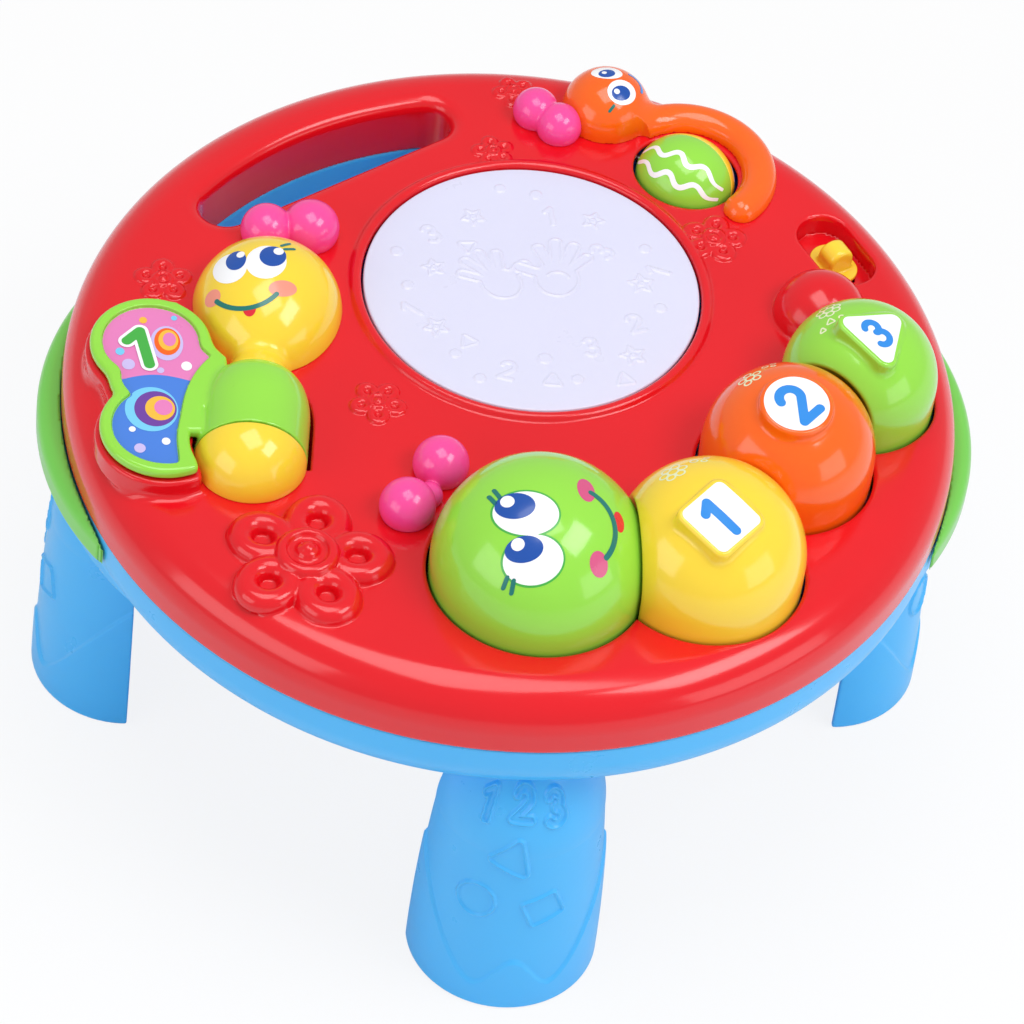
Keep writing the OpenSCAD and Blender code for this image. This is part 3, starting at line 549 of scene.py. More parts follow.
# ---- flowers moulded in the top
def flower_solid(x, y, z, c, size, turn, rise):
    """A raised flower: five looped petals round a button with a ring and a nub."""
    u, v = turned(x, y, c, turn)
    h = (z - TOP) / rise
    loops = []
    for n in range(5):
        a = 2 * pi * n / 5
        pu, pv = turned(u, v, (0.98 * size * cos(a), 0.98 * size * sin(a)), a)
        loops.append(hypot(hypot(pu * 0.92, pv) - 0.41 * size, h) - 0.25 * size)
    d = reduce(lambda a, b: smin(a, b, 0.05 * size), loops)
    r = hypot(u, v)
    button = slab(r - 0.62 * size, h, -1.0, 0.36 * size, 0.14 * size)
    button = smin(d, button, 0.04 * size)
    groove = 0.11 * size - hypot(r - 0.31 * size, h - 0.38 * size)
    nub = hyp(u, v, h - 0.26 * size) - 0.19 * size
    return smin(smax(button, groove, 0.04 * size), nub, 0.04 * size)


# x, y, size, turn, rise and blend of each flower
FLOWERS = [(-79.0, -95.0, 18.0, radians(3), 1.15, 0.9), (-124.0, 40.0, 6.4, 0.3, 0.8, 0.6),
           (-50.0, -19.0, 6.3, 0.9, 0.8, 0.6), (78.0, 65.0, 7.2, 0.1, 0.8, 0.6),
           (0.0, 109.0, 4.8, 0.5, 0.8, 0.6), (10.0, 141.0, 4.8, 0.7, 0.8, 0.6)]
BUMP = (113.0, 27.0)


def top_shell(x, y, z):
    rho = hypot(x, y)
    outer = smax(round_top(rho, z, TABLE_R, TOP, EDGE), PARTING - z, 1.2)
    inner = round_top(rho, z, TABLE_R - WALL, TOP - WALL, EDGE - WALL)
    g = grip_plan(x, y)
    d = most(outer, -inner)
    thick = WALL + 6.0 * clip((z - 144.0) / 8.0, 0.0, 1.0)
    d = least(d, most(outer, g - thick))
    # ring round the drum pad
    pad = hypot(x - PAD[0], y - PAD[1])
    ring = hypot(pad - (PAD_R + KEY_GAP + 2.0), z - TOP) - 2.0
    d = smin(d, ring, 1.6)
    # platform that the wing lies over
    platform = slab(wing_plan(x, y, 1.5), z, TOP - WALL, PLATFORM_Z, 1.6)
    d = smin(d, platform, 3.0)
    # carrying walls of the butterfly's trough
    trough = band_form(x, y, z, 1.2)
    d = least(d, most(trough - WALL, outer))
    d = smin(d, most(ball(x, y, z, (*BUMP, TOP), 17.0), TOP - WALL - z), 1.2)
    for cx, cy, size, turn, rise, blend in FLOWERS:
        d = smin(d, most(flower_solid(x, y, z, (cx, cy), size, turn, rise), TOP - 1.0 - z), blend)
    u, v = turned(x, y, WELL, WELL_TURN)
    well = oval2(u, v, 36.0, 20.0)
    d = least(d, slab(well - WALL, z, TOP - 9.0 - WALL, TOP - 1.0))
    # openings, each with its own rounded lip
    d = smax(d, -g, 0.6 + 5.4 * clip((z - 146.0) / 8.0, 0.0, 1.0))
    d = smax(d, -key_columns(x, y), 1.8)
    d = smax(d, PAD_R + KEY_GAP - pad, 0.5)
    d = smax(d, -trough, 1.0)
    hollow = slab(wing_plan(x, y, 1.5 - WALL), z, TOP - WALL - 2.0, PLATFORM_Z - WALL)
    d = most(d, -hollow)
    d = smax(d, -roller_form(x, y, z, ROLLER_GAP), 1.4)
    d = smax(d, -most(well, TOP - 9.0 - z), 1.8)
    d = most(d, -most(oval2(u, v, 22.0, 8.4), TOP - 14.0 - z))
    return d


def bottom_shell(x, y, z):
    rho = hypot(x, y)

    def form(inset):
        return wedge(rho - (TRAY_R - TRAY_EDGE), BASE + TRAY_EDGE - z) - (TRAY_EDGE - inset)

    outer = form(0.0)
    d = most(outer, -form(WALL))
    lobes = least(disc(x, y, (LOBE_IN, 0.0), 105.5), disc(x, y, (-LOBE_IN, 0.0), 105.5))
    seat = slab(most(lobes, rho - (152.0 + (z - BASE) * 1.4)), z, BASE + 3.0, PARTING - 15.0, 0.8)
    d = smin(d, most(seat, -form(WALL)), 1.0)
    g = grip_plan(x, y)
    d = least(d, most(outer, g - WALL))
    d = smax(d, z - PARTING, 0.8)
    # box for the cells
    bx, by = x - PAD[0], y - (PAD[1] - 4.0)
    d = least(d, slab(box2(bx, by, 33.4, 27.7), z, BASE + 0.5, BASE + 20.1))
    d = smax(d, -g, 1.5)
    d = most(d, -slab(box2(bx, by, 31.0, 25.3), z, BASE - 2.0, BASE + 17.7))
    d = most(d, -slab(box2(bx + 17.0, by, 17.0, 8.0), z, BASE - 2.0, BASE + 2.0))
    for a in (-90, 0, 90, 180):
        lu, lv = turned(x, y, (0, 0), radians(a))
        plug = most(hypot(lu - LEG_AT, lv) - 11.7, 131.8 - lu)
        d = most(d, -most(plug, z - (BASE + 16.2)))
    for a in (-38, -110, -145, 165, 80, 42):
        pu, pv = turned(x, y, (0, 0), radians(a))
        post = hypot(pu - 146.0, pv)
        d = least(d, most(post - 4.5, BASE + 1.0 - z, z - PARTING + 4.0))
        d = most(d, -most(post - 1.6, z - PARTING))
        d = most(d, -most(post - 3.0, z - (BASE + 8.0)))
    su, sv = x + 48.0, y + 62.0
    cell_u, cell_v = su - 6.0 * np.round(su / 6.0), sv - 6.0 * np.round(sv / 6.0)
    slot = hypot(cell_u, cell_v) - 1.6
    ringed = hypot(6.0 * np.round(su / 6.0), 6.0 * np.round(sv / 6.0)) - 19.2
    d = most(d, -most(slot, ringed, z - (BASE + 4.0)))
    return d


def side_lobe(sign):
    def fn(x, y, z):
        rho = hypot(x, y)
        plan = disc(x, y, (sign * LOBE_IN, 0.0), 109.0)
        d = slab(plan, z, PARTING - 15.0, PARTING, 5.0)
        d = smax(d, TABLE_R + 0.2 - rho, 0.5)
        return most(d, 120.5 - sign * x)
    return fn


# ---- legs
def leg_radius(z):
    low = 34.5 - 3.5 * (z / LEG_BEND) ** 2
    high = 31.0 - 12.0 * ((z - LEG_BEND) / (LEG_TOP - LEG_BEND)) ** 2
    return where(z < LEG_BEND, low, high)


def digit_one(u, v):
    return least(segment2(u, v, (0.0, -5.0), (0.0, 5.0)), segment2(u, v, (0.0, 5.0), (-2.6, 3.0)))


def digit_two(u, v):
    slope = segment2(u, v, (2.3, 0.6), (-2.9, -5.0))
    return least(arc2(u, v, (0.0, 2.2), 2.8, -35, 165), slope, segment2(u, v, (-2.9, -5.0), (3.1, -5.0)))


def digit_three(u, v):
    return least(arc2(u, v, (0.0, 2.5), 2.5, -80, 150), arc2(u, v, (0.0, -2.4), 2.7, -150, 88))


def leg(turn):
    a = radians(turn)

    def relief(t, z):
        """Distance to the raised outlines on the outside of a leg: t runs round it, z up it."""
        h = (z - 99.2) / 1.15
        digits = [np.abs(digit((t - at) / 1.25, h - up) * 1.2 - 1.7) for digit, at, up in
                  ((digit_one, -19.0, 0.0), (digit_two, -4.0, 2.6), (digit_three, 11.0, 0.6))]
        triangle = polygon2(t, z, [(-12.6, 77.0), (-3.6, 86.0), (-0.6, 71.6)]) - 1.8
        circle = ellipse2(t, z, (-17.0, 54.5), 7.4, 8.0, -0.3)
        square = box2(*turned(t, z, (8.6, 52.5), 0.38), 6.6, 6.4, 1.2)
        return least(*digits, np.abs(triangle), np.abs(circle), np.abs(square))

    def skirt(t, z):
        """Distance below the scalloped line over which the foot stands a little proud."""
        reach = np.abs(t)
        wave = 11.5 + 14.0 * (0.5 + 0.5 * np.cos(pi * least(reach, 14.0) / 14.0))
        sweep = 60.0 * (1.0 - np.exp(-(most(reach - 14.0, 0.0) / 28.0) ** 1.6))
        return (wave + sweep - z) / 1.6

    def fn(x, y, z):
        u, v = turned(x, y, (0, 0), a)
        u = u - LEG_AT
        rad = hypot(u, v)
        r = leg_radius(clip(z, 0.0, LEG_TOP))
        slope = where(z < LEG_BEND, 7.0 * z / LEG_BEND ** 2,
                      24.0 * (z - LEG_BEND) / (LEG_TOP - LEG_BEND) ** 2)
        lean = np.sqrt(1.0 + least(slope, 0.7) ** 2)
        t = np.arctan2(v, most(u, 1e-3)) * 33.0
        line = relief(t, z)
        raise_by = 0.5 * (1.0 + np.cos(pi * clip(line / 1.15, 0.0, 1.0)))
        step = clip(skirt(t, z) / 1.6 + 0.5, 0.0, 1.0)
        lift = -1.0 + step * step * (3.0 - 2.0 * step) + raise_by
        skin = (rad - r) / lean - least(lift, 0.0)
        d = smax(skin, -((rad - (r - 2.6)) / lean), 0.3)
        d = smax(d, -u, 0.8)
        d = least(d, most(rad - (r - 1.0), np.abs(z - 97.3) - 1.3, -u))
        d = smax(d, -z, 0.8)
        rho = hypot(x, y)
        tray = wedge(rho - (TRAY_R - TRAY_EDGE), BASE + TRAY_EDGE + 0.2 - z) - TRAY_EDGE
        d = most(d, -(tray - 0.05))
        plug = most(rad - 11.5, 0.2 - u, 96.0 - z, z - 123.8)
        return least(most(d, z - 125.0), plug)
    return fn


# ---- keys of the worm
def local_frame(n, along):
    """Unit axes of a plane: n is its normal, and the first axis runs as near as it can along a direction."""
    n = unit(n)
    u = unit(along - n * (n @ along))
    return u, np.cross(n, u), n


def in_frame(x, y, z, c, axes):
    p = (x - c[0], y - c[1], z - c[2])
    return [p[0] * a[0] + p[1] * a[1] + p[2] * a[2] for a in axes]


def triangle_plan(u, v, side, r):
    """A triangle with round corners, its point up."""
    k = math.sqrt(3.0)
    half = side / 2.0 - r * k
    qu, qv = np.abs(u) - half, v + half / k
    swap = qu + k * qv > 0
    nu = where(swap, (qu - k * qv) / 2.0, qu)
    nv = where(swap, (-k * qu - qv) / 2.0, qv)
    nu = nu - clip(nu, -2.0 * half, 0.0)
    return -hypot(nu, nv) * np.sign(nv) - r


READING = (cos(radians(45)), sin(radians(45)), 0.0)
# centre of each label, the axes of its plane, and its plan
LABELS = {
    1: ((59.4, -108.0, 197.3), local_frame((0.096, -0.225, 0.970), READING),
        lambda u, v: box2(u, v, 10.4, 10.4, 2.6)),
    2: ((91.1, -54.5, 197.3), local_frame((0.016, -0.12, 0.993), READING),
        lambda u, v: hypot(u, v) - 11.6),
    3: ((123.8, -17.3, 194.4), local_frame((0.231, -0.09, 0.969), (cos(0.25), sin(0.25), 0.0)),
        lambda u, v: triangle_plan(u, -v, 27.5, 3.0)),
}
DIGITS = {1: digit_one, 2: digit_two, 3: digit_three}
LABEL_TOP = 0.4
PRESS = 0.8  # how far a key's hollow side stands over its neighbour's dome


def key_form(n):
    cx, cy, r, skirt = KEYS[n]

    def dome(x, y, z, inset=0.0):
        return hyp(x - cx, y - cy, most(z - TOP - skirt, 0.0)) - (r - inset)

    def fn(x, y, z):
        d = smax(dome(x, y, z), 150.0 - z, 0.8)
        hollow = dome(x, y, z, SKIN)
        if n:
            c, axes, plan = LABELS[n]
            u, v, h = in_frame(x, y, z, c, axes)
            pad = slab(plan(u, v) - 1.5, h, -9.0, LABEL_TOP, 1.3)
            d = smin(d, pad, 1.6)
            px, py, pr, _ = KEYS[n - 1]
            pz = TOP + KEYS[n - 1][3] + PRESS
            side = pr + KEY_GAP - hyp(x - px, y - py, most(z - pz, 0.0))
            d = smax(d, side, 1.2)
            hollow = most(hollow, side + SKIN)
        return most(d, -hollow)
    return fn


# ---- drum pad
def star2(u, v, r):
    """Distance to a five-pointed star's edge, negative inside."""
    a = np.arctan2(u, v)
    sector = 2 * pi / 5
    a = np.abs(a - sector * np.round(a / sector))
    rho = hypot(u, v)
    p, q = rho * np.cos(a), rho * np.sin(a)
    tip, dent = (r, 0.0), (0.5 * r * cos(sector / 2), 0.5 * r * sin(sector / 2))
    d = segment2(p, q, tip, dent)
    inside = (dent[0] - tip[0]) * (q - tip[1]) - (dent[1] - tip[1]) * (p - tip[0]) > 0
    return where(inside, -d, d)


FINGERS = ((32, 0.98, 0.115), (10, 1.1, 0.125), (-11, 1.12, 0.125), (-33, 1.0, 0.12), (-78, 0.86, 0.13))


def hand2(u, v, size, mirror=1.0):
    """Outline of an open hand, fingers up."""
    u, v = u * mirror / size, v / size
    d = ellipse2(u, v, (0.0, 0.0), 0.46, 0.5)
    for a, reach, w in FINGERS:
        end = (reach * sin(radians(a)), reach * cos(radians(a)) - 0.05)
        root = (0.3 * end[0], 0.3 * end[1])
        d = smin(d, segment2(u, v, root, end) - w, 0.05)
    return d * size


# small marks of the pad from its middle: place, size, turn in radians or digit
PAD_STARS = ((-35, 9, 4.0, 0.2), (-36, -21, 4.4, 0.5), (40, 2, 4.6, 0.1), (34, -34, 4.6, 0.3),
             (-19, 35, 4.2, 0.6), (25, 34, 4.0, 0.9))
PAD_DOTS = ((-45, 0, 1.6), (-30, -34, 1.5), (2, -36, 2.0), (13, -46, 1.6), (46, -10, 1.6), (-48, 17, 1.7),
            (5, 47, 1.7), (43, 20, 1.6), (-8, 50, 1.5), (-22, -46, 1.6))
PAD_DIGITS = ((-44, -12, 0.9, digit_one), (19, -30, 0.15, digit_three), (-12, -42, -0.3, digit_two),
              (36, -18, 0.3, digit_two), (47, 9, 1.2, digit_one), (10, 36, 0.1, digit_one),
              (-35, 26, 0.5, digit_three), (27, 18, 1.0, digit_three))
PAD_TRIANGLES = ((-25, -28, 0.4), (4, -47, 2.0), (-22, 20, 1.1), (30, -46, 0.2))


def pad_line(x, y):
    """Distance to the moulded lines of the drum pad."""
    u, v = x - PAD[0], y - PAD[1]
    hu, hv = turned(u, v, (9.5, 4.0), radians(-14))
    near = hand2(hu, hv, 17.0)
    gu, gv = turned(u, v, (-11.0, 1.5), radians(38))
    far = most(hand2(gu, gv, 15.5, -1.0), -near)
    d = least(np.abs(near), np.abs(far), arc2(hu, hv, (0.5, -1.0), 4.5, 40, 150))
    for su, sv, r, turn in PAD_STARS:
        p, q = turned(u, v, (su, sv), turn)
        d = least(d, np.abs(star2(p, q, r)), np.abs(hypot(p, q) - 0.7))
    for cu, cv, r in PAD_DOTS:
        d = least(d, most(hypot(u - cu, v - cv) - r, 0.0))
    for cu, cv, turn, digit in PAD_DIGITS:
        p, q = turned(u, v, (cu, cv), turn)
        d = least(d, most(digit(p * 1.25, q * 1.25) / 1.25 - 0.35, 0.0))
    for cu, cv, turn in PAD_TRIANGLES:
        p, q = turned(u, v, (cu, cv), turn)
        d = least(d, np.abs(triangle_plan(p, q, 7.0, 0.6)))
    return d


def drum_pad(x, y, z):
    rho = hypot(x - PAD[0], y - PAD[1])
    rise = 0.18 * (1.0 + np.cos(pi * clip(pad_line(x, y), 0.0, 1.0)))
    crown = 0.5 * clip((rho - 52.0) / 9.0, 0.0, 1.0) ** 2
    disc_part = slab(rho - PAD_R, z + crown - rise, TOP - 1.0, TOP + 1.2, 0.7)
    skirt = most(rho - PAD_R, PAD_R - 2.0 - rho, TOP - 6.0 - z, z - TOP + 0.5)
    return least(disc_part, skirt)


# ---- feelers
WORM_BALLS = [(-30.0, -51.5, 10.0, 4.0), (-43.0, -71.5, 10.0, 4.0), (-35.0, -65.0, 5.0, 2.0)]
BUG_BALLS = [(-86.0, 63.0, 9.5, 4.0), (-70.0, 64.0, 10.5, 4.0)]
SNAIL_BALLS = [(17.0, 128.0, 8.5, 3.5), (25.0, 120.0, 8.5, 3.5)]


def feelers(balls, blend, cut):
    def fn(x, y, z):
        parts = [ball(x, y, z, (cx, cy, TOP + up), r) for cx, cy, r, up in balls]
        d = reduce(lambda a, b: smin(a, b, blend), parts)
        return smax(most(d, TOP - z), -cut(x, y, z), 0.6)
    return fn


worm_feelers = feelers(WORM_BALLS, 1.2, lambda x, y, z: disc(x, y, KEYS[0][:2], KEYS[0][2] + KEY_GAP))
bug_feelers = feelers(BUG_BALLS, 1.0,
                      lambda x, y, z: ball(x, y, z, (*BUG_HEAD, TOP - 4.0), BUG_HEAD_R + 0.2))
snail_feelers = feelers(SNAIL_BALLS, 1.0,
                        lambda x, y, z: ball(x, y, z, (*SNAIL_HEAD, TOP + 1.5), SNAIL_HEAD_R + 0.2))


# ---- butterfly
HEAD_S, HEAD_W, _ = bug_frame(*BUG_HEAD, 0.0)


def bug_skull(s, w, z, inset):
    """The head's ball, drawn out a little towards the body."""
    near = (s - HEAD_S) * where(s < HEAD_S, BUG_HEAD_R / 34.0, 1.0)
    return hyp(near, w - HEAD_W, z - TOP + 2.5) - (BUG_HEAD_R - inset)


def bug_head(x, y, z):
    s, w, h = bug_frame(x, y, z)
    d = bug_skull(s, w, z, 0.0)
    rad = hypot(w, h)
    cone = rad - 12.6 + 0.42 * most(s - BAND_L - 2.5, 0.0)
    neck = smax(cone, most(BAND_L + 0.3 - s, s - 55.0), 1.2)
    d = smin(d, neck, 4.0)
    d = most(d, BAND_L + 0.3 - s)
    d = smax(d, TOP - z, 0.5)
    d = most(d, -bug_skull(s, w, z, 2.4))
    return most(d, -most(rad - 2.6, s - 48.0))


def bug_tail(x, y, z):
    s, w, h = bug_frame(x, y, z)
    d = hyp(s, w, h) - BUG_R
    d = smax(d, s + 0.3, 1.0)
    d = smax(d, TOP - z, 0.5)
    return most(d, -most(hypot(w, h) - 2.6, -9.0 - s))


def wing_page(x, y, z):
    s, w, h = bug_frame(x, y, z)
    band = smax(band_form(x, y, z), most(0.0 - s, s - BAND_L), 1.2)
    board = slab(wing_plan(x, y), z, WING_LOW, WING_TOP, 1.9)
    d = smin(band, board, 1.6)
    inset = recess(x, y)
    d = smax(d, -most(inset, CARD_Z - z), 0.5)
    rad = hypot(w, h)
    d = most(d, -(rad - 2.5))
    hollow = most(rad - (NECK_R - 2.4), 4.9 - rad, 2.4 - s, s - BAND_L + 2.4)
    return most(d, -hollow)


# ---- snail
def snail_body(x, y, z):
    u, v = turned(x, y, SNAIL, ARCH_REST)
    rho, h = hypot(u, v), z - TOP
    tube = hypot(rho - ARCH_R, h) - TUBE_R
    wall = most(np.abs(rho - ARCH_R) - TUBE_R, h, SNAIL_LOW - z)
    arch = most(least(tube, wall), (np.abs(np.arctan2(v, u)) - ARCH_HALF) * ARCH_R)
    flat = hypot(u - ARCH_R * cos(ARCH_HALF), v + ARCH_R * sin(ARCH_HALF))
    end = least(hyp(flat, h) - TUBE_R, most(flat - TUBE_R, h, SNAIL_LOW - z))
    head = hyp(x - SNAIL_HEAD[0], y - SNAIL_HEAD[1], most(h - 1.5, 0.0)) - SNAIL_HEAD_R
    d = smin(least(arch, end), most(head, SNAIL_LOW - z), 5.0)
    d = most(d, -(head + WALL))
    d = smax(d, -roller_form(x, y, z, ROLLER_GAP), 1.0)
    outer = round_top(hypot(x, y), z, TABLE_R, TOP, EDGE)
    return most(d, -(outer - 0.03))


ROLLER_SEAM = radians(27)


def roller_half(side):
    def fn(x, y, z):
        u, v = turned(x, y, SNAIL, ROLLER_TURN)
        h = z - ROLLER_Z
        across = v * cos(ROLLER_SEAM) - h * sin(ROLLER_SEAM)
        d = smax(roller_form(x, y, z), 0.08 - side * across, 0.5)
        rad = hypot(v, h)
        hollow = most(np.abs(u) - 13.0, hyp(u, v, h) - 12.5)
        return most(d, -hollow, 1.7 - rad)
    return fn


def knob_form(x, y, z):
    u, v = turned(x, y, WELL, WELL_TURN)
    plate = slab(oval2(u, v, 20.0, 14.6), z, TOP - 8.7, TOP - 7.1, 0.4)
    lean = 0.18 * (z - TOP + 7.0)
    arch = hypot(v, most(z - TOP + 2.6, 0.0)) - 5.0
    grip = smax(smax(arch, np.abs(u - 0.6 * lean) - 5.0 + 0.5 * lean, 2.0), TOP - 8.0 - z, 0.5)
    stem = slab(oval2(u, v, 8.0, 5.0), z, TOP - 16.4, TOP - 8.0)
    return least(smin(plate, grip, 1.0), stem)


# ---- make the pieces
def around(c, half, low, high):
    """Corners of a square column round a centre."""
    return (c[0] - half, c[1] - half, low), (c[0] + half, c[1] + half, high)


def beside(x0, x1, y0, y1, low, high):
    return (x0, y0, low), (x1, y1, high)


OVER, UNDER = TOP - 1.5, -1.5  # where the boxes of the figures on top and of the legs begin
HALF = TABLE_R + 2.0
ROLLER_BOX = beside(50.0, 92.0, 78.0, 122.0, 134.0, 172.0)
LOBE_Z = (PARTING - 17.0, PARTING + 1.5)
# name, node that it replaces, body, form, grid step, the box that holds it
SHAPES = {
    (RED, "red_shell"): (
        ("play_top", "top_shell", "table", top_shell, 0.85, around((0, 0), HALF, PARTING - 15.0, TOP + 20.0)),),
    (BLUE, "blue_shell"): (
        ("tray", "bottom_shell", "table", bottom_shell, 1.2,
         beside(-HALF - 6.0, HALF + 6.0, -HALF, HALF, BASE - 2.0, PARTING + 1.0)),),
    (LEAF, "green_gloss"): (
        ("left_lobe", "side_lobe_left", "table", side_lobe(-1), 0.9,
         beside(-170.5, -118.0, -92.0, 92.0, *LOBE_Z)),
        ("right_lobe", "side_lobe_right", "table", side_lobe(1), 0.9,
         beside(118.0, 170.5, -92.0, 92.0, *LOBE_Z))),
    (BLUE, "blue_leg"): (
        ("foot_front", "leg_front", "table", leg(-90), 0.55, beside(-36.5, 36.5, -169.0, -128.0, UNDER, 126.5)),
        ("foot_right", "leg_right", "table", leg(0), 0.7, beside(128.0, 169.0, -36.5, 36.5, UNDER, 126.5)),
        ("foot_back", "leg_back", "table", leg(90), 0.7, beside(-36.5, 36.5, 128.0, 169.0, UNDER, 126.5)),
        ("foot_left", "leg_left", "table", leg(180), 0.7, beside(-169.0, -128.0, -36.5, 36.5, UNDER, 126.5))),
    (PEARL, "pearl_pad"): (
        ("pad_disc", "drum_pad", "drum", drum_pad, 0.5, around(PAD, 62.5, TOP - 7.0, TOP + 3.0)),),
    (GREEN, "green_gloss"): (
        ("worm_head_cap", "worm_head", "worm_head", key_form(0), 0.6, around(KEYS[0], 39.5, 148.5, 206.0)),
        ("key_three_cap", "key_three", "key_three", key_form(3), 0.6, around(KEYS[3], 29.5, 148.5, 200.0)),
        ("wing_board", "wing_page", "wing", wing_page, 0.5,
         beside(-153.5, -73.0, -67.0, 23.0, 137.5, 181.0)),
        ("roller_front", "roller_green_half", "roller", roller_half(-1), 0.45, ROLLER_BOX)),
    (YELLOW, "yellow_gloss"): (
        ("key_one_cap", "key_one", "key_one", key_form(1), 0.6, around(KEYS[1], 35.5, 148.5, 204.5)),
        ("butterfly_face", "butterfly_head", "table", bug_head, 0.5,
         beside(-115.5, -58.5, -15.0, 56.5, OVER, 183.0)),
        ("butterfly_end", "butterfly_tail", "table", bug_tail, 0.5,
         beside(-118.0, -75.0, -70.0, -44.0, OVER, 181.0)),
        ("roller_rear", "roller_yellow_half", "roller", roller_half(1), 0.45, ROLLER_BOX),
        ("knob_grip", "switch_knob", "knob", knob_form, 0.4, around(WELL, 13.0, 140.0, 161.5))),
    (ORANGE, "orange_gloss"): (
        ("key_two_cap", "key_two", "key_two", key_form(2), 0.6, around(KEYS[2], 32.5, 148.5, 203.0)),
        ("snail_shell", "snail_body", "table", snail_body, 0.5,
         beside(25.0, 108.0, 60.0, 149.0, 148.0, 177.5))),
    (PINK, "pink_gloss"): (
        ("worm_feeler_balls", "worm_feelers", "table", worm_feelers, 0.45,
         beside(-54.5, -19.0, -82.5, -40.5, OVER, 173.5)),
        ("butterfly_feeler_balls", "butterfly_feelers", "table", bug_feelers, 0.45,
         beside(-97.0, -58.5, 50.0, 76.0, OVER, 174.0)),
        ("snail_feeler_balls", "snail_feelers", "table", snail_feelers, 0.45,
         beside(7.5, 35.0, 110.5, 137.5, OVER, 171.5))),
}
for (paint, slot), rows in SHAPES.items():
    for name, node, body, form, step, box in rows:
        points, quads, normals = surface(form, *box, step)
        o = make_mesh(name, points, quads, normals)
        o.data.materials.append(paint)
        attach(o, body)
        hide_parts(node)
        print(f"{name}: {len(points)} vertices")


# ---- faces, labels and marks
def film(name, fn, c, size, place, target, ink, body="table", layer=1, step=0.3):
    """A film over the square of that half size round c."""
    low, high = (c[0] - size, c[1] - size), (c[0] + size, c[1] + size)
    print_on(name, fn, low, high, step, place, target, ink, body, layer)


def ovals(*shapes):
    """Ellipses, each given as its centre, its half axes and, where it leans, its turn in degrees."""
    return lambda u, v: least(*(ellipse2(u, v, (cu, cv), a, b, radians(sum(turn)))
                                for cu, cv, a, b, *turn in shapes))


def strokes(width, *lines):
    """Strokes of one width, each a list of points."""
    return lambda u, v: least(*(segment2(u, v, a, b) for points in lines
                                for a, b in zip(points[:-1], points[1:]))) - width / 2.0


def bow(a, b, c, width):
    """A round stroke through three points."""
    ax, ay, bx, by, cx, cy = *a, *b, *c
    k = 2 * (ax * (by - cy) + bx * (cy - ay) + cx * (ay - by))
    sa, sb, sc = ax * ax + ay * ay, bx * bx + by * by, cx * cx + cy * cy
    ox = (sa * (by - cy) + sb * (cy - ay) + sc * (ay - by)) / k
    oy = (sa * (cx - bx) + sb * (ax - cx) + sc * (bx - ax)) / k
    mid = math.degrees(math.atan2(by - oy, bx - ox))
    half = max(abs((math.degrees(math.atan2(q - oy, p - ox)) - mid + 180) % 360 - 180) for p, q in (a, c))
    r = math.hypot(ax - ox, ay - oy)
    return lambda u, v: arc2(u, v, (ox, oy), r, mid - half, mid + half) - width / 2.0


def any_of(*fns):
    return lambda u, v: least(*(f(u, v) for f in fns))


def face_place(c, n, u, v, away=60.0):
    """A print's frame: it starts at that distance from c along the normal n and travels back."""
    n = np.array(n, float)
    return np.array(c) + n * away, u, v, -n


def tongue(u, v):
    return most(ellipse2(u, v, (-5.1, -9.2), 2.4, 3.2), v + 9.6)


# name, region, ink and layer of each film, in the plane of the face
WORM_FACE = (
    ("eye_rims", ovals((-9.6, 6.8, 11.6, 8.9, -13), (-9.1, -9.7, 10.7, 8.9, -4)), LEAF_INK, 1),
    ("eyes", ovals((-9.6, 6.8, 10.9, 8.2, -13), (-9.1, -9.7, 10.0, 8.2, -4)), WHITE_INK, 2),
    ("pupils", ovals((-12.8, 10.0, 6.6, 5.0, -8), (-11.9, -5.9, 6.3, 4.5)), NAVY_INK, 3),
    ("glints", ovals((-15.0, 12.1, 2.3, 2.3), (-13.8, -4.0, 2.2, 2.2)), WHITE_INK, 4),
    ("lashes", strokes(1.5, [(-20.2, 15.6), (-18.9, 12.6)], [(-18.2, 17.7), (-17.0, 14.2)],
                       [(-18.0, -14.0), (-19.3, -16.8)], [(-16.0, -15.4), (-16.8, -18.9)]), TEAL_INK, 3),
    ("cheeks", ovals((12.6, 14.3, 3.2, 4.8), (13.5, -12.4, 3.4, 4.3)), ROSE_INK, 1),
    ("smile", bow((15.6, 12.2), (21.0, 2.1), (16.4, -10.2), 1.9), TEAL_INK, 2),
    ("tongue", ovals((23.1, 3.0, 2.0, 3.9)), RED_INK, 1))
BUTTERFLY_FACE = (
    ("eyes", ovals((-10.5, 8.8, 6.2, 6.9, 20), (2.6, 8.6, 7.2, 7.6, -10)), WHITE_INK, 1),
    ("pupils", ovals((-8.0, 11.4, 3.7, 4.5), (5.2, 10.8, 4.7, 4.8)), NAVY_INK, 2),
    ("glints", ovals((-6.1, 13.5, 1.5, 1.5), (7.4, 12.9, 1.8, 1.8)), WHITE_INK, 3),
    ("lashes", strokes(1.3, [(8.7, 16.0), (11.4, 17.6)], [(9.6, 14.1), (12.8, 14.6)]), TEAL_INK, 2),
    ("cheeks", ovals((-17.8, -1.1, 3.0, 3.3), (7.4, -3.2, 4.9, 3.2)), BLUSH_INK, 1),
    ("smile", bow((-16.2, -3.5), (-6.2, -9.2), (5.1, -5.3), 1.7), TEAL_INK, 2),
    ("tongue", tongue, RED_INK, 1))
